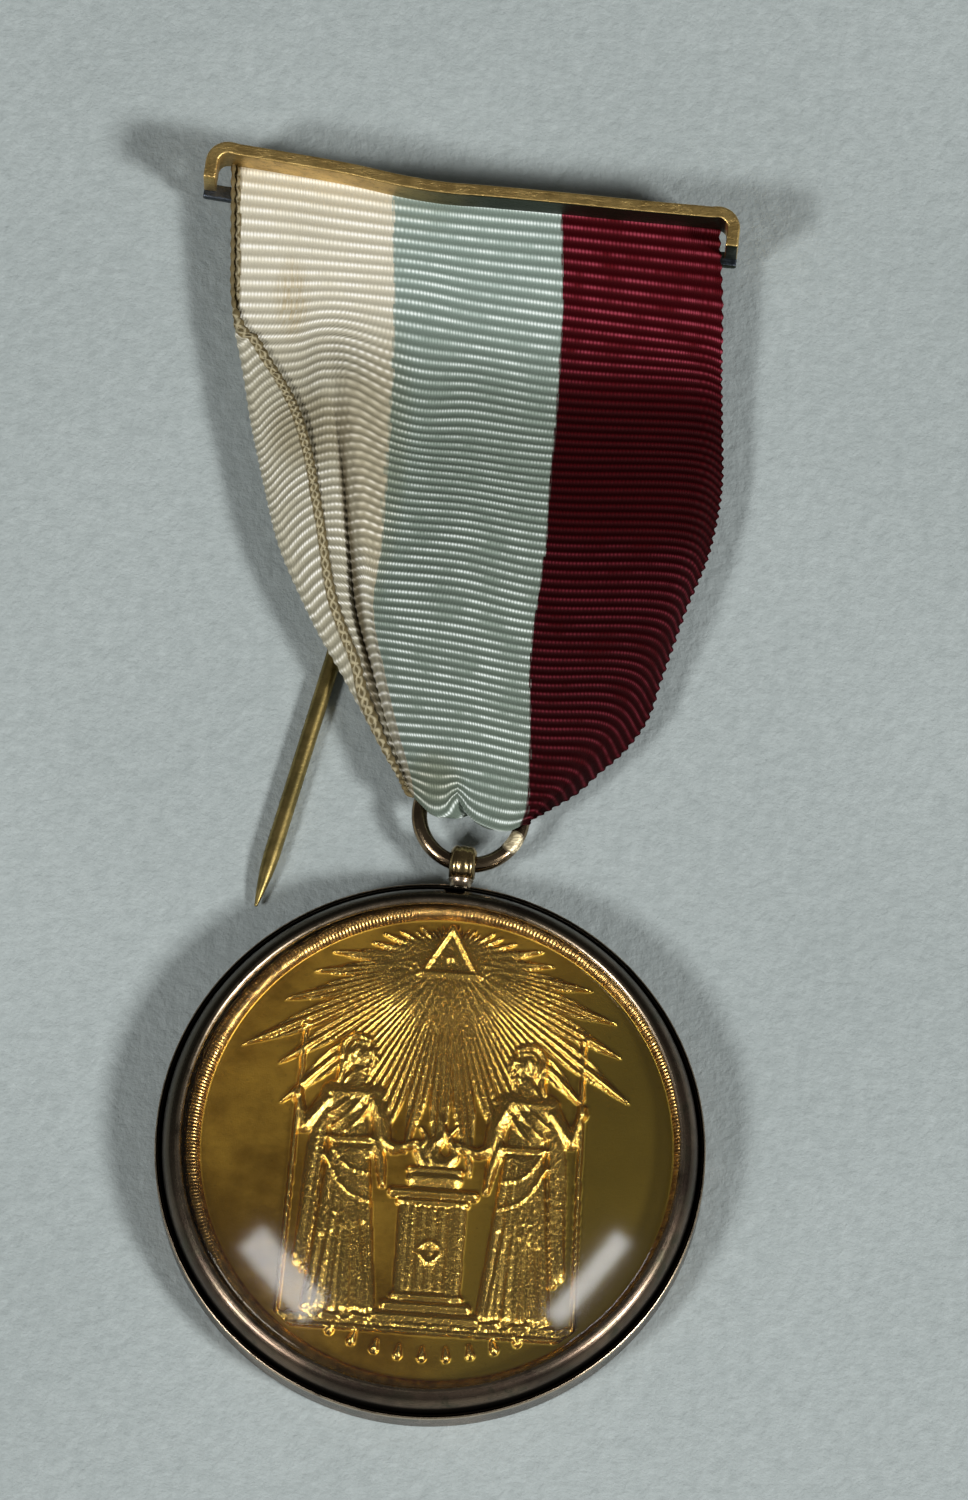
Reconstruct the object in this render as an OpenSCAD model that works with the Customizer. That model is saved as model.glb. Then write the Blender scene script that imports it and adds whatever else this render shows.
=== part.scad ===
// Breast jewel lying face up on a table: a struck gilt medal in a glazed two-part
// gilt case, hung by a wire ring from a three-colour ribbed ribbon, which
// loops over the rail of a brass brooch bar with a long prong pin.
// The origin is the centre of the case's flat back, X across the jewel,
// Y from the case to the bar, and Z up out of the table. Millimetres.

/* [Medal] */
// Outside diameter of the medal
medal_d = 44.8; // [36:0.2:56]
// Thickness of the medal over its raised rim
medal_t = 3.4; // [2.6:0.1:5]
// Width of the raised rim
medal_rim_w = 1.1; // [0.6:0.1:2]
// Height of the raised rim above the field
medal_rim_h = 0.6; // [0.3:0.1:0.9]
// Height of the relief above the field
relief_h = 0.8; // [0.3:0.1:1.2]
// How far the medal has turned clockwise in its case
medal_turn = 4; // [-20:1:20]

/* [Case] */
// Room between the medal and the bore of the case, all round
medal_play = 0.7; // [0.3:0.1:1.2]
// How far the front lip reaches inwards over the bore
lip_w = 1.1; // [0.8:0.1:1.6]
// Wall of the front half's skirt
skirt_wall = 0.6; // [0.4:0.1:1.2]
// Width of the dark groove between the two halves
groove_w = 0.25; // [0.15:0.05:0.5]
// Wall of the back half of the case
back_wall = 0.4; // [0.3:0.05:1]
// Height of the back half's wall
back_wall_h = 3.4; // [2.6:0.1:4.2]
// Thickness of the back half's flat bottom
back_t = 0.6; // [0.4:0.05:1.2]
// Height of the front half's head above the medal
head_h = 1.5; // [1.3:0.1:2.4]
// Length of the small slot in the front half at the foot of the loop
slot_l = 1.7; // [1:0.1:3]
// How deep that slot is cut into the front half
slot_depth = 0.7; // [0.4:0.1:1]

/* [Glass] */
// Thickness of the domed glass
crystal_t = 0.9; // [0.6:0.1:1.2]
// How high the dome rises above its edge
crystal_rise = 4; // [2:0.1:6]

/* [Loop and ring] */
// Angle of the loop on the case, clockwise from the top
loop_angle = 6.2; // [-15:0.1:15]
// Outside diameter of the loop
loop_d = 3.4; // [3.2:0.1:5]
// Bore of the loop
loop_bore = 2; // [1.9:0.1:2.3]
// Width of the loop along the wire
loop_w = 2.3; // [1.5:0.1:3]
// Number of reeds round the loop
loop_reeds = 3; // [1:1:5]
// Length of the neck between the case and the loop
neck_l = 0.35; // [0.2:0.05:2]
// Diameter of the neck
neck_d = 1.9; // [1.2:0.1:2.3]
// Height of the loop's centre above the table
loop_z = 2.9; // [2.6:0.1:3.2]
// Diameter of the ring's wire
wire_d = 1.4; // [1:0.1:1.5]
// Inside diameter of the ring
ring_bore = 7.8; // [7:0.1:11]
// Lean of the ring about the loop, clockwise
ring_lean = 9; // [0:1:20]

/* [Bar] */
// Length of the bar over its legs
bar_l = 48.6; // [47.4:0.2:70]
// Thickness of the bent strip
strip_t = 1.1; // [0.8:0.1:1.4]
// Depth of the strip from back to front
strip_depth = 3.8; // [2.5:0.1:6]
// Length of each leg from the top of the strip
leg_l = 3.7; // [3.4:0.1:6]
// Outside radius of the bend between strip and leg
corner_r = 2; // [1.6:0.1:2.6]
// How far the strip and the rail have been bent down at their lowest place
bar_dip = 1.1; // [0:0.1:2]
// Lean of the bar, clockwise
bar_lean = 7.8; // [0:0.2:15]
// Middle of the bar to the right of the case's centre
bar_x = 3.9; // [-5:0.1:10]
// Distance from the ring's centre to the top of the bar's middle
hang = 58.85; // [50:0.05:90]
// Height of the rail
rail_h = 1.35; // [0.8:0.05:2]
// Thickness of the rail
rail_t = 0.8; // [0.5:0.1:1.5]
// Gap between the strip and the rail, which the ribbon goes through
rail_gap = 1.8; // [1.6:0.1:3]

/* [Pin] */
// Diameter of the prong along its straight, bare stretch
pin_d = 1.5; // [1:0.1:2]
// Diameter of the prong where it leaves the bar
pin_root_d = 1.3; // [0.9:0.1:1.8]
// Length of the straight, bare stretch above the tapered point
pin_bare = 16; // [8:0.5:18]
// Length of the prong from the bar to its point
pin_l = 68.4; // [58:0.2:70]
// Length of the tapered point
pin_taper = 6; // [3:0.5:10]
// Diameter of the blunt tip
pin_tip_d = 0.3; // [0.2:0.05:0.5]
// Angle between the prong and the bar's square, clockwise
pin_splay = 8.7; // [6:0.1:12]

/* [Ribbon] */
// Width of the ribbon
ribbon_w = 44.5; // [40:0.5:45]
// Thickness of the ribbon's wall
cloth_t = 1; // [1:0.1:1.2]
// How high the front of the ribbon bulges over the ring
billow = 2.6; // [1:0.1:3.4]
// How far the edges of that bulge lie below its middle
crown = 1.8; // [0:0.1:2.4]
// Depth of the long valley fold in the white stripe
valley = 0.8; // [0:0.1:1]
// Widest part of the left margin that is folded over the front
flap_w = 4; // [2:0.1:6]
// Widest part of the right margin that is turned to the back
tuck_w = 3.4; // [2:0.1:5]

/* [Hidden] */

// Clearance between pieces that fit one in the other, and between pieces that lie on each other
fit_gap = 0.1;
seat_gap = 0.05;
// Least share of the flap and the tuck, where a margin lies all but flat
flat_share = 0.05;
// Fineness of round pieces
round_fn = 96;
wire_fn = 32;
// Parts that stay joined overlap by this much
weld = 0.2;

// Case, from the inside out
medal_r = medal_d / 2;
bore_r = medal_r + medal_play;
opening_r = bore_r - lip_w;
skirt_r = bore_r + skirt_wall;
socket_r = skirt_r + groove_w;
case_r = socket_r + back_wall;
glass_r = opening_r + 0.5 * lip_w;
edge_round = 0.5 * back_wall;
// Rounding of the front lip's inner edge, across and up
lip_round = 0.3;
lip_bevel = 0.15;
// The slot leaves a wall beside the glass
slot_wall = 0.3;
slot_cut = min(slot_depth, skirt_r - glass_r - fit_gap - slot_wall);

// Case, from the table up
medal_z = back_t + seat_gap;
head_z = medal_z + medal_t + seat_gap;
case_top = head_z + head_h;
crystal_z = head_z + seat_gap;
shoulder_z = crystal_z + crystal_t;
back_top = min(back_wall_h, case_top - edge_round);

// The medal has slid to the right as far as its play lets it
medal_slip = medal_play - fit_gap;

// Loop and ring
loop_far = case_r + neck_l + loop_d / 2;
loop_x = loop_far * sin(loop_angle);
loop_y = loop_far * cos(loop_angle);
ring_mid = (ring_bore + wire_d) / 2;
ring_x = loop_x + ring_mid * sin(ring_lean);
ring_y = loop_y + ring_mid * cos(ring_lean);

// Heights of what lies at the bar, from the table up: pin, back of the ribbon, rail, strip
back_mid_z = pin_d + fit_gap + cloth_t / 2;
rail_z = back_mid_z + cloth_t / 2 + fit_gap;
strip_z = rail_z + rail_t;
front_mid_z = strip_z + fit_gap + cloth_t / 2;
bar_y = ring_y + hang;
// Middle of the ribbon's turn over the rail, below the top of the bar
turn_r = (front_mid_z - back_mid_z) / 2;
turn_z = (front_mid_z + back_mid_z) / 2;
rail_top_v = -strip_t - rail_gap;
turn_v = rail_top_v - 0.5 * rail_t + 3 * fit_gap;

// Half of the throat where the ribbon passes the ring, and inside it
throat = (ring_bore + wire_d) / 2;
bight_half = 0.84 * ring_bore / 2;
bight_r = (wire_d + 3 * fit_gap + cloth_t) / 2;
bight_y = ring_y - 0.14 * ring_bore / 2;

// How the strip has been bent: place along the bar as a share of its length, dip as a share
BEND = [[-0.5, 0], [-0.37, 0.2], [-0.23, 0.5], [-0.12, 0.93], [-0.05, 1], [0.02, 0.84],
        [0.17, 0.56], [0.31, 0.36], [0.45, 0.08], [0.5, 0]];
function dip(u) = bar_dip * lookup(max(-0.5, min(0.5, u / bar_l)), BEND);

// Point on the bar: u along it, v up from the top of its middle, in the plane of the table
function on_bar(u, v) = [bar_x + u * cos(bar_lean) + v * sin(bar_lean),
                         bar_y - u * sin(bar_lean) + v * cos(bar_lean)];

// Arc of points round a centre
function arc(c, r, a0, a1, n) =
    [for (i = [0:n]) let (a = a0 + (a1 - a0) * i / n) c + r * [cos(a), sin(a)]];

// Outline of a bent strip, from its middle line and its half thickness
function unit(v) = v / norm(v);
function side(p, i) = let (d = unit(p[min(i + 1, len(p) - 1)] - p[max(i - 1, 0)])) [-d[1], d[0]];
function strip_outline(p, h) = concat(
    [for (i = [0:len(p) - 1]) p[i] + h * side(p, i)],
    [for (i = [len(p) - 1:-1:0]) p[i] - h * side(p, i)]);

// Middle line of the strip with its two legs
half_t = strip_t / 2;
bend_r = corner_r - half_t;
leg_u = bar_l / 2 - half_t;
BAR_STEPS = 24;
BAR_LINE = concat(
    [[-leg_u, -leg_l]],
    arc([-leg_u + bend_r, -corner_r], bend_r, 180, 90, 6),
    [for (i = [1:BAR_STEPS - 1]) let (u = (leg_u - bend_r) * (2 * i / BAR_STEPS - 1))
        [u, -half_t - dip(u)]],
    arc([leg_u - bend_r, -corner_r], bend_r, 90, 0, 6),
    [[leg_u, -leg_l]]);
RAIL_LINE = [for (i = [0:BAR_STEPS]) let (u = bar_l * (i / BAR_STEPS - 0.5))
    [u, rail_top_v - rail_h / 2 - dip(u)]];

module on_the_bar() translate([bar_x, bar_y, 0]) rotate(-bar_lean) children();

// Brass strip with its legs, the rail behind them and the prong, all soldered
module brooch_bar() color("#a8843f") {
    on_the_bar() {
        translate([0, 0, strip_z]) linear_extrude(strip_depth)
            polygon(strip_outline(BAR_LINE, half_t));
        // the rail crosses the backs of the legs, and solder runs a little way up them
        translate([0, 0, rail_z]) linear_extrude(rail_t)
            polygon(strip_outline(RAIL_LINE, rail_h / 2));
        for (s = [-1, 1]) translate([s * leg_u - half_t, -leg_l, rail_z + rail_t / 2])
            cube([strip_t, leg_l + rail_top_v, rail_t / 2 + weld]);
    }
    pin();
}

// The prong comes out of the back of the strip, bends down and thickens to its bare stretch
module pin() {
    root = on_bar(0, -dip(0) - pin_root_d / 2);
    upper = pin_l - pin_taper - pin_bare;
    translate([root[0], root[1], pin_d / 2]) {
        cylinder(h = strip_z + weld - pin_d / 2, d = pin_root_d, $fn = wire_fn);
        sphere(d = pin_root_d, $fn = wire_fn);
        rotate([90, 0, -bar_lean - pin_splay]) {
            cylinder(h = upper, d1 = pin_root_d, d2 = pin_d, $fn = wire_fn);
            translate([0, 0, upper]) cylinder(h = pin_bare, d = pin_d, $fn = wire_fn);
            translate([0, 0, pin_l - pin_taper])
                cylinder(h = pin_taper, d1 = pin_d, d2 = pin_tip_d, $fn = wire_fn);
        }
    }
}

module suspension_ring() color("#b5a17a") translate([ring_x, ring_y, loop_z])
    rotate_extrude($fn = round_fn) translate([ring_mid, 0]) circle(d = wire_d, $fn = wire_fn);

// Reeded eye that the ring hangs in, on a short neck
module loop() {
    reed = loop_w / loop_reeds;
    depth = 0.1 * reed;
    steps = 6;
    profile = concat(
        [[loop_bore / 2, -loop_w / 2], [loop_d / 2 - depth, -loop_w / 2]],
        [for (k = [0:loop_reeds - 1]) for (i = [1:steps - 1])
            [loop_d / 2 - depth * (1 - sin(180 * i / steps)), -loop_w / 2 + reed * (k + i / steps)]],
        [[loop_d / 2 - depth, loop_w / 2], [loop_bore / 2, loop_w / 2]]);
    rotate(-loop_angle) {
        translate([0, loop_far, loop_z]) rotate([0, 90, 0])
            rotate_extrude($fn = round_fn) polygon(profile);
        translate([0, socket_r + back_wall / 2, loop_z]) rotate([-90, 0, 0])
            cylinder(h = neck_l + back_wall / 2 + (loop_d - loop_bore) / 4, d = neck_d, $fn = wire_fn);
    }
}

// Shallow cup: a flat bottom under the medal, and a thin wall with a rounded top
module case_back() color("#8d7a5c") {
    rotate_extrude($fn = round_fn) polygon(concat(
        [[0, 0], [case_r - edge_round, 0]],
        arc([case_r - edge_round, edge_round], edge_round, -90, 0, 4),
        arc([case_r - edge_round, back_top - edge_round], edge_round, 0, 180, 8),
        [[socket_r, back_t], [0, back_t]]));
    loop();
}

// Bezel: a skirt that drops into the back half, and a rounded head with a lip over the glass
module case_front() color("#8d7a5c") difference() {
    rotate_extrude($fn = round_fn) polygon(concat(
        [[bore_r, medal_z], [skirt_r, medal_z]],
        [for (i = [0:8]) let (a = 90 * i / 8)
            [opening_r + lip_round + (skirt_r - opening_r - lip_round) * cos(a),
             back_top + (case_top - back_top) * sin(a)]],
        [[opening_r, case_top - lip_bevel], [opening_r, shoulder_z + seat_gap],
         [glass_r + fit_gap, shoulder_z + seat_gap], [glass_r + fit_gap, head_z],
         [bore_r, head_z]]));
    rotate(-loop_angle + 1) translate([-slot_l / 2, skirt_r - slot_cut, back_top + weld])
        cube([slot_l, 2 * slot_cut, case_top]);
}

// Domed glass: a spherical shell with a flat edge that sits under the front lip
module front_crystal() color("#dfe8ea", 0.3) {
    dome_r = opening_r - fit_gap;
    curve_r = (dome_r * dome_r + crystal_rise * crystal_rise) / (2 * crystal_rise);
    span = asin(dome_r / curve_r);
    centre = [0, shoulder_z + crystal_rise - curve_r];
    rotate_extrude($fn = round_fn) polygon(concat(
        [for (i = [0:16]) centre + curve_r * [sin(span * i / 16), cos(span * i / 16)]],
        [[glass_r, shoulder_z], [glass_r, crystal_z], [dome_r - crystal_t, crystal_z]],
        [for (i = [15:-1:0]) let (a = span * i / 16 * (1 - crystal_t / dome_r))
            centre + (curve_r - crystal_t) * [sin(a), cos(a)]]));
}

// The ribbon. One section for each share of the way from the rail to the ring.
// Columns: way down, left edge and right edge (0 at the ring, 1 at full width), width of the
// left flap, depth of the valley fold, and width of the right tuck (shares of their full size).
FRONT = [
    [0.00, 0.97, 1.00, 0.06, 0.0, 0.06],
    [0.06, 0.96, 1.00, 0.06, 0.0, 0.06],
    [0.13, 0.94, 1.00, 0.12, 0.0, 0.06],
    [0.20, 0.91, 1.00, 0.28, 0.1, 0.06],
    [0.27, 0.88, 1.00, 0.48, 0.2, 0.06],
    [0.34, 0.83, 1.00, 0.72, 0.4, 0.08],
    [0.41, 0.78, 1.00, 0.95, 0.7, 0.12],
    [0.48, 0.73, 0.98, 0.95, 0.9, 0.25],
    [0.55, 0.66, 0.93, 0.75, 1.0, 0.45],
    [0.62, 0.56, 0.84, 0.58, 1.0, 0.65],
    [0.69, 0.46, 0.76, 0.44, 1.0, 0.85],
    [0.76, 0.34, 0.70, 0.34, 0.9, 1.00],
    [0.82, 0.24, 0.63, 0.26, 0.7, 0.90],
    [0.87, 0.17, 0.53, 0.18, 0.5, 0.55],
    [0.92, 0.09, 0.37, 0.10, 0.3, 0.16],
    [0.96, 0.04, 0.21, 0.05, 0.1, 0.05],
    [1.00, 0.00, 0.04, 0.04, 0.0, 0.04]];
// The back is plain and a little narrower: the same columns without fold, flap and tuck
BACK_W = 0.97;
BACK = [for (i = [len(FRONT) - 1:-1:0]) let (r = FRONT[i]) if (i % 2 == 0)
    [r[0], r[1] * BACK_W, r[2] * BACK_W, flat_share, 0, flat_share]];

// A station is a section's place: middle line's y at the left and right edges, height, the
// direction that its front faces, its edges, and its flap, valley, tuck and crown
half_w = ribbon_w / 2;
function edge_x(share) = throat + (half_w - throat) * share;
function axis_x(way) = bar_x + rail_top_v * sin(bar_lean) + (ring_x - bar_x
                       - rail_top_v * sin(bar_lean)) * way;
// Height of the rail's turn at a distance from the middle, and of the ring's throat
function top_y(x) = on_bar((x - axis_x(0)) / cos(bar_lean), turn_v - dip(x - axis_x(0)))[1];
SWELL = [[0, 0], [0.1, -0.1], [0.2, -0.18], [0.3, -0.16], [0.4, 0.15], [0.5, 0.6], [0.6, 0.92],
         [0.68, 1], [0.78, 0.9], [0.87, 0.5], [0.95, 0.12], [1, 0]];
throat_front_z = loop_z + bight_r;
throat_back_z = loop_z - bight_r;
function front_z(way) = front_mid_z + (throat_front_z - front_mid_z) * way + billow * lookup(way, SWELL);
// The edges stay above the back, with room for the tuck
crown_h = max(0, min(crown, billow - 2 * fit_gap));
function bulge(way) = max(0, lookup(way, SWELL));
// The back stays over the prong, and comes down to the throat where it is clear of it
function back_z(way) = back_mid_z
    + (throat_back_z - back_mid_z) * max(0, min(1, (way - 0.76) / 0.14));

STATIONS = concat(
    [for (r = FRONT) [r[0], 0, front_z(r[0]), [0, 1], -edge_x(r[1]), edge_x(r[2]),
                      r[3] * flap_w, r[4] * valley, r[5] * tuck_w, crown_h * bulge(r[0])]],
    [for (a = [30:30:150]) [1, -bight_r * sin(a), loop_z + bight_r * cos(a), [-sin(a), cos(a)],
                      -bight_half, bight_half, flat_share * flap_w, 0, flat_share * tuck_w, 0]],
    [for (r = BACK) [r[0], 0, back_z(r[0]), [0, -1], -edge_x(r[1]), edge_x(r[2]),
                      r[3] * flap_w, 0, r[5] * tuck_w, 0]],
    [for (a = [30:30:150]) [0, turn_r * sin(a), turn_z - turn_r * cos(a), [sin(a), -cos(a)],
                      -edge_x(BACK_W), edge_x(1), flat_share * flap_w, 0, flat_share * tuck_w, 0]]);

// A margin that turns over: distance walked past the crease gives how far in and how high
fold_room = 0.06;
fold_r = cloth_t / 2 + fold_room;
function turned(q) = q < PI * fold_r
    ? let (a = q / fold_r * 180 / PI) [-fold_r * sin(a), fold_r * (1 - cos(a))]
    : [q - PI * fold_r, 2 * fold_r];

// Points across a section, from the left selvedge to the right one
FLAP_N = 6;
WEB_N = 11;
TUCK_N = 5;
// Where the valley lies across the web, and how wide it is, as shares of the web
VALLEY_AT = 0.26;
VALLEY_W = 0.09;
function across(st) = let (
        l = st[4] + cloth_t / 2 + fold_r, r = st[5] - cloth_t / 2 - fold_r, w = r - l)
    concat(
        [for (i = [FLAP_N:-1:1]) let (t = turned(st[6] * i / FLAP_N)) [l + t[0], t[1] - st[9], 0]],
        [for (i = [0:WEB_N]) let (f = i / WEB_N)
            [l + w * f, -st[7] * exp(-pow((f - VALLEY_AT) / VALLEY_W, 2)) - st[9] * pow(2 * f - 1, 2), f]],
        [for (i = [1:TUCK_N]) let (t = turned(st[8] * i / TUCK_N)) [r - t[0], -t[1] - st[9], 1]]);
function place(st, p) = let (
        way = st[0], x = axis_x(way) + p[0],
        top_x = axis_x(0) + (p[2] * 2 - 1) * half_w,
        y = top_y(top_x) * (1 - way) + bight_y * way)
    [x, y + st[1] + st[3][0] * p[1], st[2] + st[3][1] * p[1]];
MID = [for (st = STATIONS) [for (p = across(st)) place(st, p)]];
ROWS = len(MID);
COLS = len(MID[0]);
function facing(i, k) = unit(cross(
    MID[(i + ROWS - 1) % ROWS][k] - MID[(i + 1) % ROWS][k],
    MID[i][max(k - 1, 0)] - MID[i][min(k + 1, COLS - 1)]));

// Number of the point at row i and column k, on the front (s = 0) or back face (s = 1)
function at(s, i, k) = s * ROWS * COLS + (i % ROWS) * COLS + k;

module ribbon() color("#a9c4c9") {
    shell = [for (s = [1, -1]) for (i = [0:ROWS - 1]) for (k = [0:COLS - 1])
        MID[i][k] + s * cloth_t / 2 * facing(i, k)];
    polyhedron(shell, concat(
        [for (i = [0:ROWS - 1]) for (k = [0:COLS - 2])
            each [[at(0, i, k), at(0, i + 1, k), at(0, i, k + 1)],
                  [at(0, i, k + 1), at(0, i + 1, k), at(0, i + 1, k + 1)],
                  [at(1, i, k), at(1, i, k + 1), at(1, i + 1, k)],
                  [at(1, i, k + 1), at(1, i + 1, k + 1), at(1, i + 1, k)]]],
        [for (i = [0:ROWS - 1])
            each [[at(0, i, 0), at(1, i, 0), at(0, i + 1, 0)],
                  [at(0, i + 1, 0), at(1, i, 0), at(1, i + 1, 0)],
                  [at(0, i, COLS - 1), at(0, i + 1, COLS - 1), at(1, i, COLS - 1)],
                  [at(0, i + 1, COLS - 1), at(1, i + 1, COLS - 1), at(1, i, COLS - 1)]]]));
}

// Relief of the medal, in shares of the field's radius: two robed figures that face an altar with
// a flame, below a triangle with an eye in a glory of rays. Each stroke is a bar with round ends.
// Columns: start x, y and radius, end x, y and radius, height as a share of the relief
field_r = medal_r - medal_rim_w;
field_z = medal_t - medal_rim_h;
ALTAR = [
    [-0.20, -0.725, 0.035, 0.20, -0.725, 0.035, 0.55],
    [-0.16, -0.665, 0.035, 0.16, -0.665, 0.035, 0.60],
    [-0.09, -0.620, 0.060, -0.09, -0.260, 0.060, 0.55],
    [0.09, -0.620, 0.060, 0.09, -0.260, 0.060, 0.55],
    [0.00, -0.620, 0.060, 0.00, -0.260, 0.060, 0.50],
    [-0.16, -0.195, 0.030, 0.16, -0.195, 0.030, 0.75],
    [-0.08, -0.130, 0.045, 0.08, -0.130, 0.045, 0.70],
    [0.00, -0.070, 0.060, 0.02, 0.110, 0.020, 0.60],
    [-0.05, -0.070, 0.035, -0.07, 0.040, 0.012, 0.50],
    [0.05, -0.070, 0.035, 0.07, 0.060, 0.012, 0.50]];
// The left figure, with its mirror image on the right
FIGURE = [
    [-0.350, 0.395, 0.080, -0.365, 0.375, 0.085, 1.00],
    [-0.355, 0.310, 0.040, -0.360, 0.260, 0.050, 0.60],
    [-0.455, 0.215, 0.055, -0.270, 0.215, 0.055, 0.80],
    [-0.370, 0.190, 0.115, -0.360, 0.010, 0.095, 0.95],
    [-0.360, -0.050, 0.105, -0.385, -0.640, 0.185, 0.90],
    [-0.270, 0.190, 0.045, -0.235, 0.040, 0.038, 0.85],
    [-0.235, 0.040, 0.036, -0.125, -0.050, 0.024, 0.80],
    [-0.465, 0.190, 0.055, -0.540, -0.690, 0.075, 0.65],
    [-0.500, 0.110, 0.035, -0.590, 0.420, 0.012, 0.45],
    [-0.330, -0.725, 0.030, -0.270, -0.735, 0.022, 0.60]];
GROUND = [[-0.60, -0.765, 0.022, 0.60, -0.765, 0.022, 0.40]];
// Row of drops below the ground line, along the rim
DROPS = [for (i = [-4:4]) let (a = 270 + 6.5 * i, r = 0.895 - 0.02 * (i % 2) * (i % 2))
    [r * cos(a), r * sin(a), 0.028, r * cos(a) + 0.001, r * sin(a), 0.028, 0.5]];
STROKES = concat(GROUND, ALTAR, DROPS, FIGURE,
    [for (f = FIGURE) [-f[0], f[1], f[2], -f[3], f[4], f[5], f[6]]]);

// Height of a stroke at a point: the round top of a bar that tapers from one end to the other
function stroke(p, s) = let (
        d = [s[3] - s[0], s[4] - s[1]], q = p - [s[0], s[1]],
        t = max(0, min(1, q * d / (d * d))), r = s[2] + (s[5] - s[2]) * t,
        away = norm(q - t * d) / r)
    away < 1 ? s[6] * pow(1 - away * away, 0.4) : 0;

// The triangle's middle, and half the distance across its flats
EYE = [0, 0.83];
tri_in = 0.085;
function tri(p) = let (q = p - EYE)
    max([for (a = [-90, 30, 150]) q * [cos(a), sin(a)]]) - tri_in;
function triangle_relief(p) = let (d = tri(p), q = p - EYE)
    d > 0 ? 0 : d > -0.03 ? 0.85 : norm([q[0], 1.6 * q[1]]) < 0.035 ? 0.75 : 0.3;

// Rays from the eye: each sector is a ridge that narrows to a point
ray_step = 8;
ray_reach = 0.93;
function to_rim(d) = let (b = EYE * d) -b + sqrt(b * b + 1 - EYE * EYE);
function glory(p) = let (
        q = p - EYE, rho = norm(q), turn = atan2(q[0], -q[1]), off = abs(turn / ray_step
        - round(turn / ray_step)) * 2, reach = min(ray_reach, 0.86 * to_rim(q / max(rho, 0.001))))
    rho < reach * (1 - 0.3 * off) ? 0.35 - 0.15 * off : 0;
function relief(p) = max(glory(p), triangle_relief(p), max([for (s = STROKES) stroke(p, s)]));

// Top of the medal on a square grid drawn out to a disc, so that its cells are even
MESH_N = 52;
function disc(i, j) = let (a = 2 * i / MESH_N - 1, b = 2 * j / MESH_N - 1)
    [a * sqrt(1 - b * b / 2), b * sqrt(1 - a * a / 2)];
// Numbers of the grid's points round its edge
EDGE = concat([for (i = [0:MESH_N - 1]) [i, 0]], [for (j = [0:MESH_N - 1]) [MESH_N, j]],
    [for (i = [MESH_N:-1:1]) [i, MESH_N]], [for (j = [MESH_N:-1:1]) [0, j]]);
// Profile from the field over the rim to the back, as radius and height
soft = 0.15 * medal_rim_w;
RIM = [[field_r + soft, medal_t - soft], [field_r + 2 * soft, medal_t],
       [medal_r - 2 * soft, medal_t], [medal_r, medal_t - 2 * soft], [medal_r, 2 * soft],
       [medal_r - 2 * soft, 0], [field_r + soft, 0], [field_r, medal_rim_h]];
function grid_at(i, j) = i * (MESH_N + 1) + j;
function rim_at(k, e) = (MESH_N + 1) * (MESH_N + 1) + k * len(EDGE) + e % len(EDGE);
function edge_at(k, e) = k < 0 ? grid_at(EDGE[e % len(EDGE)][0], EDGE[e % len(EDGE)][1])
    : rim_at(k, e);

module medal() color("#b8912f") {
    top = [for (i = [0:MESH_N]) for (j = [0:MESH_N]) let (p = disc(i, j))
        [field_r * p[0], field_r * p[1], field_z + (norm(p) < 0.98 ? relief_h * relief(p) : 0)]];
    wall = [for (r = RIM) for (e = EDGE) let (p = unit(disc(e[0], e[1]))) [r[0] * p[0], r[0] * p[1], r[1]]];
    translate([medal_slip, 0, medal_z]) rotate(-medal_turn) polyhedron(concat(top, wall), concat(
        [for (i = [0:MESH_N - 1]) for (j = [0:MESH_N - 1])
            each [[grid_at(i, j), grid_at(i, j + 1), grid_at(i + 1, j + 1)],
                  [grid_at(i, j), grid_at(i + 1, j + 1), grid_at(i + 1, j)]]],
        [for (k = [-1:len(RIM) - 2]) for (e = [0:len(EDGE) - 1])
            each [[edge_at(k, e), edge_at(k, e + 1), edge_at(k + 1, e)],
                  [edge_at(k, e + 1), edge_at(k + 1, e + 1), edge_at(k + 1, e)]]],
        [[for (e = [0:len(EDGE) - 1]) edge_at(len(RIM) - 1, e)]]));
}

brooch_bar();
ribbon();
suspension_ring();
case_back();
case_front();
front_crystal();
medal();
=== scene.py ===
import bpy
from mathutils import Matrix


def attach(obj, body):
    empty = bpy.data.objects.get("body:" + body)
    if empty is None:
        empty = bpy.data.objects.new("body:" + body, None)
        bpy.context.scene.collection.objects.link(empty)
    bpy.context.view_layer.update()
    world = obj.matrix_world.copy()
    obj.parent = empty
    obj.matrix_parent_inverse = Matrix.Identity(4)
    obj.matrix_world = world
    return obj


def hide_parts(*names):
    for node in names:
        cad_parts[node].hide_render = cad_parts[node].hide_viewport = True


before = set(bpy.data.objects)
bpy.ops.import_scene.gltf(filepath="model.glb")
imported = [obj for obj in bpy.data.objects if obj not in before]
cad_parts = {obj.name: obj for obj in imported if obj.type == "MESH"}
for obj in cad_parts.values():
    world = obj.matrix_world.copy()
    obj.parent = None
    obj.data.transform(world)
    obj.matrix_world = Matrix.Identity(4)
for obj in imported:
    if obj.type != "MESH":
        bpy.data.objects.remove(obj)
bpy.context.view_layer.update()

# A breast jewel lying on a table: a gilt medal under a domed glass in a two-part round case,
# hung by a wire ring from a ribbed silk ribbon that is looped over the rail of a brass pin bar.
# Sizes are in millimetres up to the moment a mesh is made, and positions are those of the solids.
from types import SimpleNamespace as Sizes
import bpy
import numpy as np
from mathutils import Matrix

MM = 0.001

# Camera. The photographer stood at the foot of the jewel and looked down steeply from far off.
# The view is turned a hair to the left, and upright lines of the picture run along the jewel.
IMAGE_HEIGHT = 1500
VIEW = Sizes(elevation=74.0, azimuth=-0.64, roll=0.73, distance=1000.0, aim=(4.722, 36.812, 3.0),
             px_per_mm=11.204)


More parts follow.
